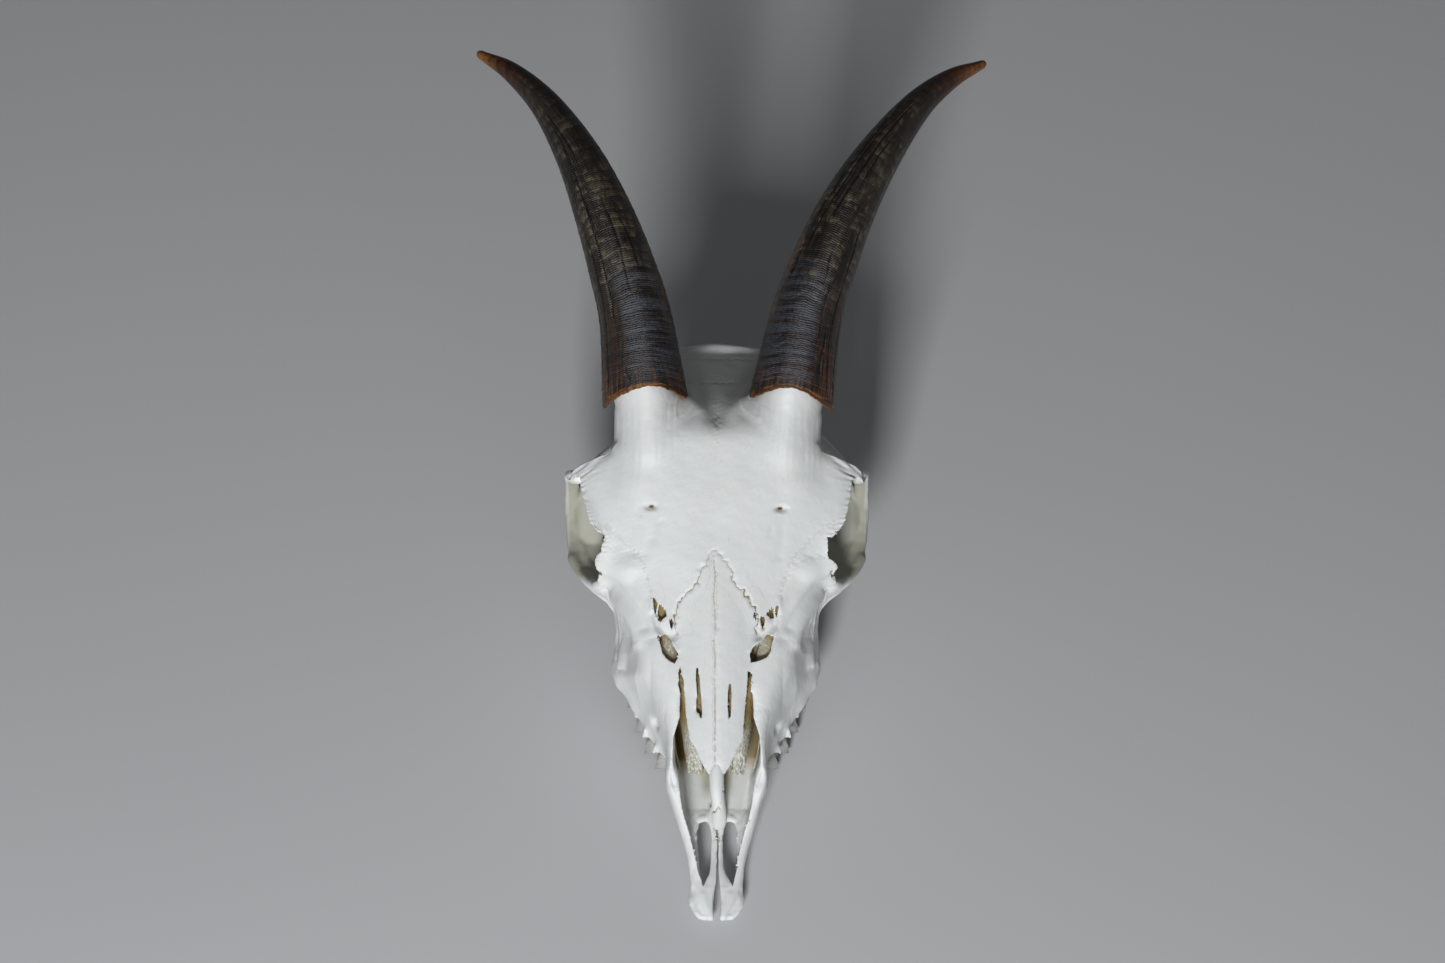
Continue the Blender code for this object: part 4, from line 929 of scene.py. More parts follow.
BONE_GRAIN = bone_grain_group()
WHITE_BONE = (0.79, 0.805, 0.795, 1)
CREAM_BONE = (0.76, 0.735, 0.65, 1)
HOLLOW_SHADE_BONE = (0.60, 0.53, 0.36, 1)
OCHRE_DEEP_SHADE = (0.26, 0.185, 0.07, 1)
SHADED_BONE = (0.41, 0.405, 0.33, 1)
SUTURE_DIRT = (0.27, 0.18, 0.08, 1)


def bone_finish():
    """White bone, with painted shade and stains laid on by what the script marked on each point."""
    bone = Finish("bleached_bone", 0.55)
    grain = bone.add(
        "ShaderNodeGroup", {"node_tree": BONE_GRAIN}, Place=bone.place, Scale=1.0, Porosity=0.6
    ).outputs
    bone.colour = bone.mix(bone.ramp(grain["Mottle"], 0.45, 0.8, 0.0, 0.25), WHITE_BONE, CREAM_BONE)
    # Painted shade: the shade mark lays an olive cream, and low openness lays cream, then ochre.
    bone.lay(bone.mark("shade"), SHADED_BONE)
    air = bone.mark("open_air")
    bone.lay(bone.ramp(air, 0.62, 0.30), HOLLOW_SHADE_BONE)
    bone.lay(bone.ramp(air, 0.34, 0.12), OCHRE_DEEP_SHADE)
    line = bone.maths("ABSOLUTE", bone.mark("suture"))
    frayed_line = bone.maths("MULTIPLY_ADD", bone.noise(bone.place, 700.0), 0.55, line)
    patchy = bone.ramp(bone.noise(bone.place, 260.0, 2.0), 0.3, 0.55, 0.35, 1.0)
    thread = bone.times(bone.ramp(frayed_line, 0.56, 0.36), bone.mark("suture_stain"), patchy)
    bone.lay(thread, SUTURE_DIRT)
    bone.lay(bone.times(grain["Pores"], 0.55), HOLLOW_SHADE_BONE)
    height = bone.maths("MULTIPLY_ADD", thread, -1.2, grain["Height"])
    return bone.finished(height, 0.5, 0.00025, bone.ramp(grain["Mottle"], 0.3, 0.8, 0.48, 0.66))


bleached_bone = bone_finish()

# Each bone takes the part of the skin that lies nearest to it, up to its zigzag sutures.
SEAM_REACH = 3
LEAST_PATCH = 400
SCRAP_ROUNDS = 60
swap = (neighbour >= 0) & (seam < SEAM_REACH)
sided = np.where(signed > 0, np.minimum(owner, neighbour), np.maximum(owner, neighbour))
owner = np.where(swap, sided, owner)


def without_scraps(owner, edges):
    """The same owners, but a patch with few points goes to the bone that surrounds it."""
    patch = np.arange(len(owner))
    same = edges[owner[edges[:, 0]] == owner[edges[:, 1]]]
    settled = False
    while not settled:
        lowest = np.minimum(*patch[same].T)
        before = patch.copy()
        np.minimum.at(patch, same[:, 0], lowest)
        np.minimum.at(patch, same[:, 1], lowest)
        patch = patch[patch]
        patch = patch[patch]
        settled = (patch == before).all()
    small = np.bincount(patch, minlength=len(owner))[patch] < LEAST_PATCH
    for _ in range(SCRAP_ROUNDS):
        across = edges[small[edges[:, 0]] != small[edges[:, 1]]]
        if not len(across):
            break
        first_small = small[across[:, 0]]
        inner = np.where(first_small, across[:, 0], across[:, 1])
        outer = np.where(first_small, across[:, 1], across[:, 0])
        owner[inner] = owner[outer]
        small[inner] = False
    return owner


owner = without_scraps(owner, edges)
corners = read(skin.data.loops, "vertex_index", 1, np.int32)
sizes = read(skin.data.polygons, "loop_total", 1, np.int32)
# A face goes to the middle one of its points' bones. One sort finds it for all faces at once.
FACE_STRIDE = 100
ranked = np.sort(np.repeat(np.arange(len(sizes)), sizes) * FACE_STRIDE + owner[corners]) % FACE_STRIDE
share = ranked[np.cumsum(sizes) - sizes + sizes // 2]
skin.data.materials.clear()
for node in BONES:
    skin.data.materials.append(bpy.data.materials.new(node))
skin.data.polygons.foreach_set("material_index", share.astype(np.int32))
skin.data.polygons.foreach_set("use_smooth", np.ones(len(share), bool))
edge_of = read(skin.data.loops, "edge_index", 1, np.int32)
highest = np.full(len(edges), -1)
lowest = np.full(len(edges), len(BONES))
np.maximum.at(highest, edge_of, np.repeat(share, sizes))
np.minimum.at(lowest, edge_of, np.repeat(share, sizes))
skin.data.edges.foreach_set("use_edge_sharp", highest != lowest)
known = set(bpy.data.objects) - {skin}
bpy.ops.object.select_all(action="DESELECT")
bpy.context.view_layer.objects.active = skin
skin.select_set(True)
bpy.ops.object.mode_set(mode="EDIT")
bpy.ops.mesh.select_all(action="SELECT")
bpy.ops.mesh.separate(type="MATERIAL")
bpy.ops.object.mode_set(mode="OBJECT")
for shell in set(bpy.data.objects) - known:
    mesh = shell.data
    node = mesh.materials[mesh.polygons[0].material_index].name
    bpy.data.objects.remove(shell)
    mesh.polygons.foreach_set("material_index", np.zeros(len(mesh.polygons), np.int32))
    piece = add_piece(node + "_bone", mesh, bleached_bone, node)
    wall = piece.modifiers.new("wall", "SOLIDIFY")
    wall.thickness = SHELL * MM
    wall.offset = -1
for node in BONES:
    bpy.data.materials.remove(bpy.data.materials[node])


# Cheek teeth: six in each upper jaw, of enamel in a grey painted shade darker than the bone, folded round
# darker dentine. The outer face is ribbed, the inner one is a rounded lobe or two, and chewing has worn the
# crowns to sharp-edged crescents.
TOOTH_SIDES = 96
TOOTH_ROOT_Z = 15.5
CUSP_HEIGHT = 1.5
# The worn crown from its outer edge to its middle: height, how far in from the outline, share of the cusps.
CROWN = (
    *((z, by, 1 - z / 3.2) for z, by in ((1.8, 0.15), (1.0, 0.4), (0.4, 0.75), (0.08, 1.15))),
    *((z, by, 1) for z, by in ((0.1, 1.35), (0.6, 1.65), (1.3, 2.0), (1.7, 2.5))),
    *((z, by, 0.6) for z, by in ((1.5, 3.1), (0.9, 3.5), (1.1, 3.9), (2.2, 4.3))),
)


def read_mark(mesh, name):
    """The value of a mark at each point of the mesh."""
    return read(mesh.attributes[name].data, "value", 1, np.float32).astype(float)


def raise_points(mesh, height):
    """Moves each point of a mesh outwards by its height."""
    write_points(mesh, read_points(mesh) + read_normals(mesh) * height[:, None])


def cheek_tooth(name, start, end, outer, width, lobes, side, seed):
    """One tooth from its place along the jaw, its outer face, its width and its number of lobes."""
    length = end - start
    middle = np.array((outer - width / 2, (start + end) / 2))
    half = TOOTH_SIDES // 2
    t = np.linspace(0, 1, half, endpoint=False)
    styles = sum(bell((t - i / lobes) * length, 0.9) for i in range(lobes + 1))
    ribs = sum(bell((t - (i + 0.5) / lobes) * length, 1.1) for i in range(lobes))
    outside = np.stack([outer - 0.9 + 1.35 * styles + 0.5 * ribs, start + length * t], axis=1)
    bulge = np.abs(np.sin(math.pi * (1 - t) * lobes)) ** 0.6
    inside = np.stack([outer - width + 2.6 - 2.6 * bulge, start + length * (1 - t)], axis=1)
    outline = np.concatenate([outside, inside])
    cusp = CUSP_HEIGHT * np.concatenate([ribs, 0.55 * bulge]) * min(1.0, width / 10)
    crown_lift = 1.6 - cusp * np.random.default_rng(seed).uniform(0.75, 1.1)

    def ring(z, by, lift=0.0):
        """The outline at a height, drawn in by a distance and lifted by a share of the cusps."""
        flat = middle + (outline - middle) * (1 - 2 * by / np.array((width, length)))
        return np.column_stack([side * flat[:, 0], flat[:, 1], z + lift * crown_lift])

    levels = [(TOOTH_ROOT_Z, 2.6), (TOOTH_ROOT_Z, 2.4)]
    levels += [(z, 0.4 + 1.8 * ((z - 8.5) / 6) ** 1.3) for z in np.linspace(14.6, 8.6, 10)]
    levels += [(z, 0.4 * (z / 8.6) ** 2) for z in np.linspace(8, 3.2, 9)]
    rows = [ring(z, by) for z, by in levels]
    rows[0] = rows[0] * 0 + rows[1].mean(axis=0)
    rows += [ring(z, min(by, 0.46 * width), lift) for z, by, lift in CROWN]
    rows.append(rows[-1] * 0 + rows[-1].mean(axis=0))
    rows = np.array(rows)
    rows[..., 2] = np.maximum(rows[..., 2], 0.02)
    marks = {
        "height": rows[..., 2],
        "crown": np.repeat(np.linspace(0, 1, len(rows))[:, None], TOOTH_SIDES, axis=1),
    }
    mesh = tube_mesh(name, rows, marks)
    points = read_points(mesh)
    flutes = np.sin(points[:, 1] * 2 * math.pi / 1.7 + wander(points, 5, seed))
    banding = np.sin(points[:, 2] * 2 * math.pi / 0.9 + wander(points, 6, seed + 1))
    raise_points(mesh, 0.05 * flutes + 0.03 * banding)
    return mesh


# Painted shade: the enamel is a grey darker than the bone.
ENAMEL_IN_SHADE = (0.43, 0.44, 0.42, 1)
DENTINE = (0.34, 0.31, 0.24, 1)
TARTAR = (0.22, 0.14, 0.07, 1)


def tooth_finish():
    tooth = Finish("tooth_enamel", 0.28)
    crown = tooth.mark("crown")
    clouds = tooth.noise(tooth.place, 420.0)
    tooth.colour = tooth.mix(tooth.ramp(clouds, 0.45, 0.75, 0.0, 0.3), ENAMEL_IN_SHADE, DENTINE)
    near_gum = tooth.ramp(tooth.mark("height"), 8.0, 12.0)
    tooth.lay(tooth.times(near_gum, tooth.ramp(clouds, 0.4, 0.7, 0.0, 0.4)), TARTAR)
    tooth.lay(tooth.ramp(crown, 0.80, 0.9), DENTINE)
    tooth.lay(tooth.ramp(crown, 0.93, 0.98), TARTAR)
    height = tooth.maths("MULTIPLY_ADD", tooth.noise(tooth.place, 1500.0, 2.0), 0.4, clouds)
    return tooth.finished(height, 0.4, 0.0002, tooth.ramp(clouds, 0.3, 0.7, 0.22, 0.45))


tooth_enamel = tooth_finish()
for side_name, side in (("left", -1), ("right", 1)):
    for i, tooth in enumerate(TEETH):
        name = f"cheek_tooth_{side_name}_{i + 1}"
        mesh = cheek_tooth(name, *tooth, side, 40 + i + 10 * side)
        add_piece(name, mesh, tooth_enamel, "maxilla_" + side_name)


# Scrolls of the nose and the ploughshare bone: the scrolls are paper-thin porous bone rolled up on each side
# of the nose, and the ploughshare is a smooth bright strip with a gutter that stands between them.
# Each is given by stations of place, half width and half height: SCROLL in space, the others on the face.
SCROLL = (
    (7.6, 50, 31, 3.7, 5), (8.6, 57, 34.6, 4.2, 7.4), (10.2, 65, 39, 3.9, 9), (12.4, 74, 43.6, 4.4, 10.2),
    (17, 84, 49, 6.2, 11), (19.5, 94, 53, 6.5, 10.5), (20, 104, 56, 6, 8),
)
NOSE_WING = (
    (14.8, 56.6, 3.4, 0.45, 1.0), (15.4, 58.4, 3, 0.6, 2), (16.6, 63, 2.5, 0.6, 4), (17.3, 70, 2, 0.8, 6),
    (17.9, 82, 2.5, 1.6, 7), (18.8, 98, 3, 2, 7),
)
PLOUGHSHARE = (
    (0.9, 32.5, 3.8, 1.4, 0.8), (0.9, 35, 3.2, 2.8, 1.4), (0.9, 39.5, 1.8, 2.9, 2.0),
    (0.5, 44.6, 0.4, 2.7, 2.4), (0, 50, -0.4, 2.9, 2.8), (-0.1, 59, 0.8, 3.0, 3.4), (0, 68, 5, 2.6, 4.2),
    (0, 82.3, 16.4, 2.4, 4.8), (0, 98, 22, 2.2, 5.4),
)
ROOF_SCROLL = (
    (6, 70, -10, 2.5, 1.8), (6.3, 80, -14, 3.4, 2.4), (7, 93, -14.5, 3.4, 2.4), (12, 99.5, -10, 2.2, 2.2),
    (17, 104, -8.5, 3.2, 2.6), (18, 109, -9, 4, 3), (17, 117, -9.5, 8, 3), (15.5, 125, -9.5, 11.5, 2.6),
    (13, 131, -9, 6, 2),
)
PALE_SCROLL = (0.56, 0.56, 0.49, 1)
DULL_SCROLL = (0.42, 0.41, 0.33, 1)
GOLDEN_SCROLL_SHADE = (0.27, 0.19, 0.07, 1)
SCROLL_FROTH = (0.74, 0.74, 0.70, 1)
SCROLL_PIT_SHADE = (0.22, 0.185, 0.10, 1)


# Painted light and shade on the scrolls: pale and frothy where the daylight mark puts light, golden and ochre
# shade elsewhere, and a darker painted shade in the sunk pits and folds.
def scroll_finish():
    scroll = Finish("porous_scroll_bone", 0.65)
    grain = scroll.add(
        "ShaderNodeGroup", {"node_tree": BONE_GRAIN}, Place=scroll.place, Scale=2.0, Porosity=1.0
    ).outputs
    daylight = scroll.mark("daylight")
    pale = scroll.mix(scroll.ramp(grain["Mottle"], 0.4, 0.7), PALE_SCROLL, DULL_SCROLL)
    golden_shade = scroll.mix(scroll.ramp(grain["Mottle"], 0.35, 0.7), GOLDEN_SCROLL_SHADE, OCHRE_DEEP_SHADE)
    scroll.colour = scroll.mix(daylight, golden_shade, pale)
    froth = scroll.ramp(scroll.noise(scroll.place, 1100.0, 2.0), 0.5, 0.62)
    scroll.lay(scroll.times(froth, daylight, 0.8), SCROLL_FROTH)
    scroll.lay(scroll.ramp(scroll.mark("pit"), 0.25, 1.0, 0.0, 0.75), SCROLL_PIT_SHADE)
    scroll.lay(scroll.times(grain["Pores"], 0.35), OCHRE_DEEP_SHADE)
    return scroll.finished(grain["Height"], 0.8, 0.0004)


def window_light(points, side, x, half_x, place):
    """How much of the light through the gap beside the nose bone falls on each point."""
    away = ((points[:, 0] * side - x) / half_x) ** 2 + ((face_places(points)[0] - place) / 4) ** 2
    return np.exp(-away)


porous_scroll_bone = scroll_finish()
for side_name, side in (("left", -1), ("right", 1)):
    mesh = lengthwise_body("scroll_" + side_name, SCROLL, side, 120, 0.4)
    points = read_points(mesh)
    turn = np.arctan2(read_mark(mesh, "turn_sin"), read_mark(mesh, "turn_cos"))
    coil = bell(turn + 0.5 * side - 0.25 * np.sin(points[:, 1] / 7), 0.22)
    lamella = bell(turn - 2.1 * side, 0.16)
    foam = wander(points, 1.7, 61 + side) + 0.9 * wander(points, 1.1, 64 + side)
    lace = held(foam - 0.4) ** 1.5
    raise_points(mesh, -(0.3 * lace + 1.3 * coil + 0.9 * lamella))
    froth = held((53.5 - points[:, 1]) / 2.5)
    tattered = read_points(mesh)
    tattered[:, 1] += froth * (0.9 * wander(points, 2.4, 67 + side) + 0.5 * wander(points, 1.2, 69 + side))
    write_points(mesh, tattered)
    # Painted light: pale at the front end and where light falls in through the gap beside the nose bone.
    lit = 0.75 * held((66 - points[:, 1]) / 8) + 0.5 * froth
    lit += 0.8 * window_light(points, side, 17.8, 3.6, 106.5)
    set_marks(mesh, pit=held(lace * 0.9 + coil + lamella), daylight=lit)
    add_piece("nose_scroll_" + side_name, mesh, porous_scroll_bone, "turbinate_" + side_name)

    mesh = lengthwise_body("roof_scroll_" + side_name, on_face(ROOF_SCROLL), side, 72, 0.45)
    points = read_points(mesh)
    lace = held(wander(points, 2.6, 81 + side) + 0.7 * wander(points, 1.5, 84 + side) - 0.3)
    raise_points(mesh, -0.5 * lace)
    # Painted light where it falls through the gap beside the nose bone, and painted shade in the pits.
    set_marks(mesh, pit=0.7 * lace, daylight=0.7 * window_light(points, side, 18, 4, 106))
    add_piece("nose_roof_scroll_" + side_name, mesh, porous_scroll_bone)

    mesh = lengthwise_body("nose_wing_" + side_name, on_face(NOSE_WING), side, 40, 0.5)
    points = read_points(mesh)
    raise_points(mesh, 0.15 * wander(points, 6, 71))
    # Painted shade: the wing turns olive, then golden brown further into the nose.
    air = np.interp(face_places(points)[0], (56, 60, 64, 72), (0.7, 0.55, 0.35, 0.15))
    set_marks(mesh, open_air=air, shade=0.5, suture=4.0)
    add_piece("nose_wing_" + side_name, mesh, bleached_bone, "turbinate_" + side_name)

mesh = lengthwise_body("ploughshare", on_face(PLOUGHSHARE), 1, 72, 0.35)
points, normals = read_points(mesh), read_normals(mesh)
gutter = bell(points[:, 0], 0.9) * held(normals[:, 2] * 3)
gutter *= held((points[:, 1] - 52) / 8)
crack_line = points[:, 1] - 37.4 - 0.6 * np.sin(points[:, 0] * 1.7)
crack_line -= 7 * held((points[:, 0] - 1.7) / 0.8)
split = bell(crack_line, 0.3) * held(normals[:, 2] * 3 + 1)
raise_points(mesh, -0.8 * (gutter + split))
# Painted shade: the strip turns creamy and then ochre further back, under the nose bones. The part in front of
# the crack is tinted a little darker with the shade colour.
set_marks(
    mesh, open_air=np.clip(1.05 - (points[:, 1] - 56) / 30, 0.1, 1), suture=np.abs(crack_line).clip(0, 4),
    shade=0.25 * held(-crack_line), suture_stain=0.8,
)
add_piece("ploughshare_bone", mesh, bleached_bone, "vomer")


# Horn sheaths: dead, dark keratin that grew over the bony cores ring by ring, so it is ridged across, cracked
# lengthwise and thin at its rim. Each is one closed body with a deep recess that slips over its core.
HORN_LINES = {
    "left": (
        (-27.5, 202.3, -8), (-31.2, 234.2, -15), (-36.8, 255.3, -18), (-44.2, 276.8, -19.2),
        (-53.6, 298, -18.4), (-66.4, 318.2, -15.5), (-80.2, 331.8, -11.5), (-92.3, 339.1, -7),
    ),
    "right": (
        (28.8, 201.4, -8), (34.3, 234.0, -15), (41.2, 255.3, -18), (50.3, 276.8, -19.2),
        (62.7, 298, -18.4), (77.9, 317.8, -15.5), (91.6, 329.2, -11.5), (104.0, 335.3, -7),
    ),
}
HORN_HALF_SIZES = (
    (17.6, 20.0), (14.8, 18.0), (13.5, 16.4), (11.7, 14.2), (9.2, 11.3), (6.3, 8.0), (4.1, 5.2), (1.9, 2.3),
)
HORN_ROW = 0.5
HORN_SIDES = 192
RIM_RISE_FRONT, RIM_RISE_BACK, RIM_FADE = 10.0, 7.0, 33.0
SHEATH_WALL = 1.7
RECESS_DEPTH = 16.5
RECESS_TAPER = 1.5
TIP_LENGTH = 2.6
LAST_RING = 175
# Each crack: turn round the horn in degrees from its front, where it starts and ends along it in
# millimetres, how far it drifts round on the way in degrees, how wide and how deep it is.
HORN_CRACKS = {
    "left": (
        (38, 34, 118, -12, 0.5, 0.9), (20, 2, 16, 3, 0.5, 0.6), (29, 66, 112, 4, 0.35, 0.6),
        (-3, 44, 84, -6, 0.35, 0.5), (58, 4, 72, -8, 0.4, 0.6), (75, 10, 60, 5, 0.4, 0.5),
        (10, 96, 126, 10, 0.4, 0.6), (-30, 50, 78, 5, 0.3, 0.35), (120, 20, 100, 12, 0.5, 0.7),
        (-120, 15, 80, -10, 0.5, 0.6), (176, 30, 120, 8, 0.5, 0.7), (-75, 60, 105, 6, 0.3, 0.4),
    ),
    "right": (
        (-52, 46, 128, 10, 0.45, 0.8), (-38, 60, 120, 8, 0.4, 0.7), (-18, 74, 132, 9, 0.4, 0.7),
        (34, 8, 40, 4, 0.5, 0.7), (50, 2, 84, -4, 0.45, 0.6), (66, 1, 44, 3, 0.4, 0.6),
        (12, 50, 70, -3, 0.3, 0.4), (2, 88, 118, 6, 0.35, 0.6), (110, 12, 90, 9, 0.5, 0.7),
        (-110, 20, 90, -8, 0.5, 0.6), (170, 25, 110, -7, 0.5, 0.7), (24, 24, 58, 2, 0.3, 0.4),
    ),
}


def growth_rings(growth, seed):
    """Height of the ring ridges at a length along the horn: sharp below, easing off above."""
    rng = np.random.default_rng(seed)
    height = np.zeros_like(growth)
    at = 2.5
    while at < LAST_RING:
        gap = rng.uniform(3.4, 6.6) * (1 - 0.35 * at / LAST_RING)
        phase = (growth - at) / gap
        ridge = np.exp(-3.2 * phase) * (1 - np.exp(-phase * 22))
        height += rng.uniform(0.45, 1.0) * np.where((phase >= 0) & (phase < 1), ridge, 0)
        at += gap
    return height


def horn_sheath(side_name, seed):
    """One sheath: a recess over the core, the rim, the ringed and cracked outside and the tip."""
    side = -1 if side_name == "left" else 1
    stations = [(*point, *size) for point, size in zip(HORN_LINES[side_name], HORN_HALF_SIZES)]
    line, growth = evenly(curve_through(on_face(stations), 24), HORN_ROW)
    centre, half_wide, half_deep = line[:, :3], line[:, 3], line[:, 4]
    ahead = unit(np.gradient(centre, axis=0))
    front = unit(TOWARDS - ahead * (ahead @ TOWARDS)[:, None])
    wide = np.cross(ahead, front)
    wide *= np.where(wide[:, :1] * side < 0, -1, 1)
    turn = np.linspace(0, 2 * math.pi, HORN_SIDES, endpoint=False)[None, :]
    keel = 1 + 0.07 * np.maximum(0, np.cos(turn)) ** 4
    flat = 1 - 0.07 * np.maximum(0, -np.sin(turn)) ** 2
    saddle = np.cos(turn) ** 2 * np.where(np.cos(turn) > 0, RIM_RISE_FRONT, RIM_RISE_BACK)
    rim = 0.13 * np.sin(turn * 19 + seed) + 0.08 * np.sin(turn * 47 + 2 * seed)
    rim += 0.3 * np.sin(turn * 5 + seed)
    rows, lengths, inside = [], [], []

    def lay(i, length, within, out_by=0.0, up_by=0.0, shrink=1.0, fray=0.0):
        """Adds a ring, with its length along the horn and whether it lies in the recess."""
        rise = max(0.0, 1 - growth[i] / RIM_FADE)
        rows.append(
            centre[i]
            + ahead[i] * (up_by + saddle * rise + rim * fray).T
            + front[i] * ((half_deep[i] * keel + out_by) * np.cos(turn) * shrink).T
            + wide[i] * ((half_wide[i] * flat + out_by) * np.sin(turn) * shrink).T
        )
        lengths.append(length)
        inside.append(within)

    for shrink in (0.0, 0.35, 0.7, 0.93):
        lay(0, 14, 1, -SHEATH_WALL - RECESS_TAPER, RECESS_DEPTH, shrink)
    for up_by in np.linspace(RECESS_DEPTH - 0.6, 0.9, 22):
        share = up_by / RECESS_DEPTH
        lay(0, up_by, 1, -SHEATH_WALL - RECESS_TAPER * share, up_by, fray=1 - share)
    for within, out_by, up_by in (
        (1, 0.15 - SHEATH_WALL, 0.4), (1, 0.6 - SHEATH_WALL, 0.05), (0, -0.55, 0.0), (0, -0.2, 0.15)
    ):
        lay(0, 0, within, out_by, up_by, fray=1.0)
    for i in range(1, len(growth)):
        lay(i, growth[i], 0, fray=math.exp(-growth[i] / 2.5))
    for t in np.arange(1, 9) / 8:
        round_off = t * math.pi / 2
        lay(-1, growth[-1] + 2 * t, 0, up_by=TIP_LENGTH * math.sin(round_off), shrink=math.cos(round_off))
    rows = np.array(rows)
    lengths = np.repeat(np.array(lengths, float)[:, None], HORN_SIDES, axis=1)
    arch = 5.0 * held((lengths - 8) / 25) * held(1.3 - lengths / 150)
    marks = {
        "growth": lengths,
        "ring_place": lengths - arch * np.cos(turn) ** 2,
        "front": np.repeat(np.cos(turn), len(rows), axis=0),
        "outer": np.repeat(np.sin(turn), len(rows), axis=0),
        "inside": np.repeat(np.array(inside, float)[:, None], HORN_SIDES, axis=1),
    }
    mesh = tube_mesh("horn_sheath_" + side_name, rows, marks)
    points = read_points(mesh)
    growth_at, ring_place, front_at, outer_at, hidden = (read_mark(mesh, key) for key in marks)
    turn_at = np.arctan2(outer_at, front_at)
    radius = np.interp(growth_at, growth, (half_wide + half_deep) / 2)
    wave = wander(points, 16, seed + 1)
    ridges = growth_rings(ring_place + 0.9 * wave + 0.35 * wander(points, 5, seed + 2), seed)
    ridges *= 0.75 + 0.25 * held(front_at + 0.5)
    fine = np.sin((ring_place + 0.5 * wave) * 2 * math.pi / 1.35)
    fine *= held(0.6 + 0.7 * wander(points, 11, seed + 3))
    fibres = np.sin(turn_at * 47 + 1.5 * wave) + np.sin(turn_at * 71 + 2 * wave)
    strength = np.clip(1.15 - growth_at / 150, 0.12, 1) * np.clip(growth_at / 3, 0.2, 1)
    relief = (0.42 * ridges + 0.05 * fine) * strength + 0.045 * fibres * held(0.3 - front_at)
    cracks = np.zeros(len(points))
    for start_turn, start, end, drift, half, depth in HORN_CRACKS[side_name]:
        share = ((growth_at - start) / (end - start)).clip(0, 1)
        middle = start_turn + drift * share + 1.6 * np.sin(share * 9 + start)
        apart = np.abs((np.degrees(turn_at) - middle + 180) % 360 - 180)
        ends = held((growth_at - start) / 6) * held((end - growth_at) / 10)
        groove = bell(np.radians(apart) * radius, half) * ends
        relief -= depth * groove
        cracks = np.maximum(cracks, groove)
    raise_points(mesh, relief * (1 - hidden) * held(radius / 4))
    set_marks(mesh, ridge=ridges, crack=cracks)
    return mesh


BLACK_HORN = (0.007, 0.006, 0.006, 1)
BROWN_HORN = (0.034, 0.022, 0.013, 1)
SLATE_WEAR_AND_SHEEN = (0.072, 0.076, 0.096, 1)
TAN_HORN = (0.17, 0.135, 0.088, 1)
RUST_HORN = (0.105, 0.028, 0.010, 1)
AMBER_HORN = (0.31, 0.115, 0.022, 1)
CRACK_DARK = (0.004, 0.004, 0.004, 1)


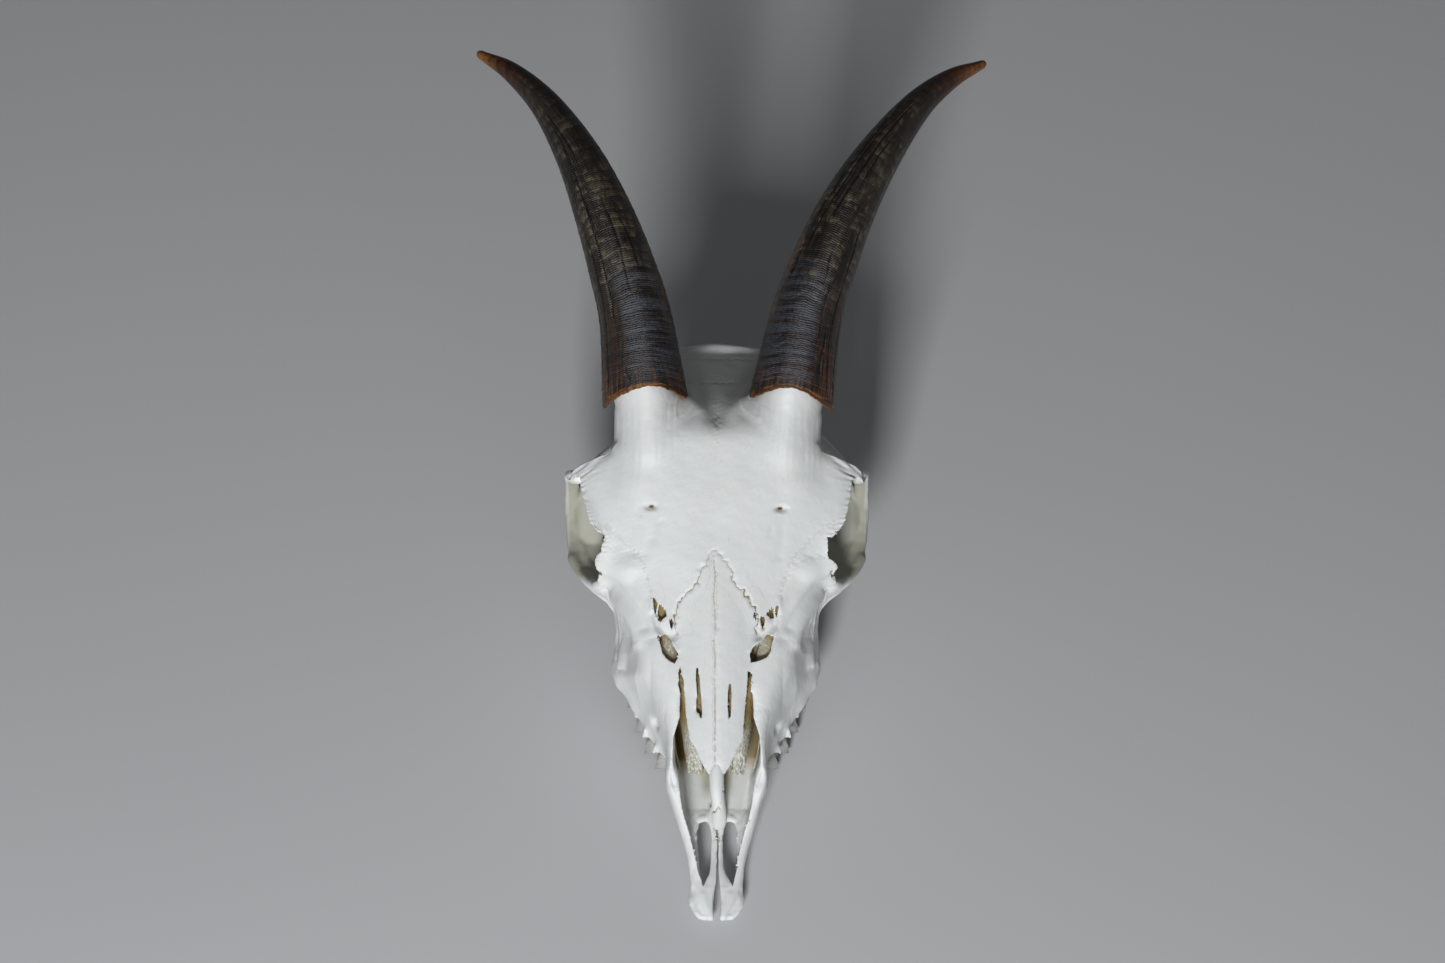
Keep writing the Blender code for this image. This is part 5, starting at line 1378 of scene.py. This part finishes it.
def horn_finish(name, shift, rust_share):
    """Keratin laid on in layers, by the growth along the horn, the turn round it and its rings."""
    horn = Finish(name, 0.4, Specular_IOR_Level=0.42)
    ramp, times = horn.ramp, horn.times
    growth, front, outer = horn.mark("growth"), horn.mark("front"), horn.mark("outer")
    ring_place, ridge, crack = horn.mark("ring_place"), horn.mark("ridge"), horn.mark("crack")

    def unrolled(round_scale, along_scale, source, *noise):
        """Seamless noise on the sheath, stretched round it or along it."""
        across = horn.maths("MULTIPLY_ADD", outer, round_scale, shift)
        place = horn.add(
            "ShaderNodeCombineXYZ", X=times(front, round_scale), Y=across, Z=times(source, along_scale)
        )
        return horn.noise(place.outputs[0], *noise)

    streaks = unrolled(9.0, 0.035, growth, 2.0, 4.0, 0.65)
    blotches = unrolled(2.2, 0.10, growth, 1.3, 4.0, 0.6)
    bands = unrolled(0.5, 0.62, ring_place, 1.0, 4.0, 0.7)
    flecks = unrolled(10.0, 0.5, growth, 1.6, 3.0, 0.7)
    threads = unrolled(22.0, 0.02, growth, 1.8, 3.0, 0.7)
    fibres = unrolled(46.0, 0.12, growth, 1.6, 3.0, 0.7)
    horn.colour = horn.mix(ramp(streaks, 0.38, 0.66), BLACK_HORN, BROWN_HORN)
    amber_tip = horn.mix(ramp(growth, 146.0, 160.0), RUST_HORN, AMBER_HORN)
    # From below upwards: pale threads; the worn, bluish front of the lower third, its blue partly a painted
    # sheen on the side that faces the light; tan and grey patches in the middle, where the outer layer has
    # weathered off the ridges, lifted on the ring ridges as a painted highlight; rust and amber on the outer
    # side, the rim and the tip; an amber glow along the inner keel, painted light through the thin edge; darker
    # in the valleys between the rings and in the cracks.
    for colour, *shares in (
        (TAN_HORN, (threads, 0.55, 0.68), (front, 0.9, 0.3, 0.15, 0.6)),
        # Slate front: partly worn keratin, partly a painted sheen where the horn faces the light.
        (SLATE_WEAR_AND_SHEEN, (front, 0.15, 0.8), (growth, 2.0, 9.0), (growth, 66.0, 44.0),
         (outer, 0.5, 0.2, 0.08, 1.0), (bands, 0.40, 0.56, 0.06, 1.0), (flecks, 0.36, 0.58, 0.3, 1.0)),
        # Tan weathering, lifted on the ring ridges as a painted highlight.
        (TAN_HORN, (growth, 38.0, 58.0), (growth, 150.0, 84.0, 0.28, 1.0), (blotches, 0.46, 0.62),
         (ridge, 0.02, 0.35, 0.35, 1.0), (flecks, 0.38, 0.6, 0.3, 1.0), (front, -0.5, 0.4, 0.35, 0.8)),
        (RUST_HORN, (outer, 0.1, 0.75), (growth, 62.0, 6.0), (streaks, 0.46, 0.62, 0.0, rust_share)),
        (AMBER_HORN, (growth, 17.0, 3.0), (streaks, 0.44, 0.64), (front, 0.98, 0.1, 0.25, 0.95),
         (blotches, 0.35, 0.6, 0.5, 1.0)),
        (AMBER_HORN, (growth, 3.4, 1.2), (streaks, 0.30, 0.52, 0.1, 1.0)),
        # Painted light: an amber glow along the thin inner keel.
        (AMBER_HORN, (outer, -0.72, -0.95), (growth, 20.0, 34.0), (growth, 92.0, 70.0),
         (blotches, 0.45, 0.6, 0.0, 0.4)),
        (amber_tip, (growth, 132.0, 158.0), (blotches, 0.3, 0.6, 0.4, 0.9)),
        (BLACK_HORN, (ridge, 0.16, 0.0), (bands, 0.62, 0.42, 0.3, 0.8)),
        (CRACK_DARK, (crack, 0.25, 0.7)),
    ):
        horn.lay(times(*(ramp(*share) for share in shares)), colour)
    waves = horn.maths("MULTIPLY_ADD", blotches, 2.2, ring_place)
    waves = horn.maths("SINE", times(waves, 2 * math.pi / 0.85))
    height = times(waves, ramp(front, -0.2, 0.6, 0.1, 0.4))
    height = horn.maths("MULTIPLY_ADD", fibres, 1.5, height)
    height = horn.maths("MULTIPLY_ADD", flecks, 0.8, height)
    return horn.finished(height, 0.55, 0.0002, ramp(flecks, 0.3, 0.7, 0.30, 0.52))


for side_name, seed, rust_share in (("left", 3, 0.7), ("right", 8, 1.0)):
    finish = horn_finish("horn_keratin_" + side_name, seed * 2.7, rust_share)
    add_piece(
        "sheath_" + side_name, horn_sheath(side_name, seed), finish, "horn_" + side_name, slot="horn"
    )


# The stage: a plain pale floor, soft studio light from above and beside, and a camera square to the face.
# The skull was photographed from about a metre and a quarter away with a short telephoto view.
CAMERA_DISTANCE = 1.25
FRAMED_WIDTH = 0.56355
SENSOR = 36
FLOOR_HALF = 3.0
AIM_ALONG, AIM_BACK, AIM_ACROSS = 0.1729, 0.022, 0.0023
across = Vector((1, 0, 0))
back = Vector(TOWARDS)
up = Vector((0, math.cos(FACE_TILT), math.sin(FACE_TILT)))
AIM = Vector(ORIGIN) * MM + across * AIM_ACROSS + up * AIM_ALONG + back * AIM_BACK
lens = bpy.data.cameras.new("camera")
lens.sensor_width = SENSOR
lens.lens = SENSOR * CAMERA_DISTANCE / FRAMED_WIDTH
camera = as_object("camera", lens)
camera.location = AIM + back * CAMERA_DISTANCE
camera.rotation_mode = "QUATERNION"
camera.rotation_quaternion = (-back).to_track_quat("-Z", "Y")
bpy.context.scene.camera = camera

bm = bmesh.new()
bmesh.ops.create_grid(bm, x_segments=2, y_segments=2, size=FLOOR_HALF)
floor = as_object("floor", as_mesh("floor", bm))
paint = Finish("pale_floor", 0.75)
clouds = paint.noise(paint.place, 3.0, 2.0)
pale = paint.mix(clouds, (0.60, 0.61, 0.62, 1), (0.64, 0.645, 0.65, 1))
paint.feed(paint.shader.inputs["Base Color"], pale)
floor.data.materials.append(paint.material)


def soft_light(name, place, size, power, colour):
    """A square soft box that faces the skull."""
    lamp = bpy.data.lights.new(name, "AREA")
    lamp.shape = "SQUARE"
    lamp.size = size
    lamp.energy = power
    lamp.color = colour
    box = as_object(name, lamp)
    box.location = place
    box.rotation_mode = "QUATERNION"
    box.rotation_quaternion = (place - AIM).to_track_quat("Z", "Y")


key_place = AIM + back * 1.3 - across * 0.22 - up * 0.85
fill_place = AIM + back * 1.6 + across * 0.4 + up * 0.1
soft_light("key", key_place, size=0.36, power=20.5, colour=(0.97, 0.985, 1))
soft_light("fill", fill_place, size=0.9, power=0.8, colour=(0.94, 0.97, 1))
soft_light("rim", AIM + back * 0.7 + up * 1.2, size=0.8, power=0.6, colour=(1, 0.98, 0.95))
sky = bpy.data.worlds.new("studio")
sky.use_nodes = True
glow = sky.node_tree.nodes["Background"].inputs
glow["Color"].default_value = (0.80, 0.83, 0.87, 1)
glow["Strength"].default_value = 0.045
bpy.context.scene.world = sky
bpy.context.scene.view_settings.view_transform = "Standard"
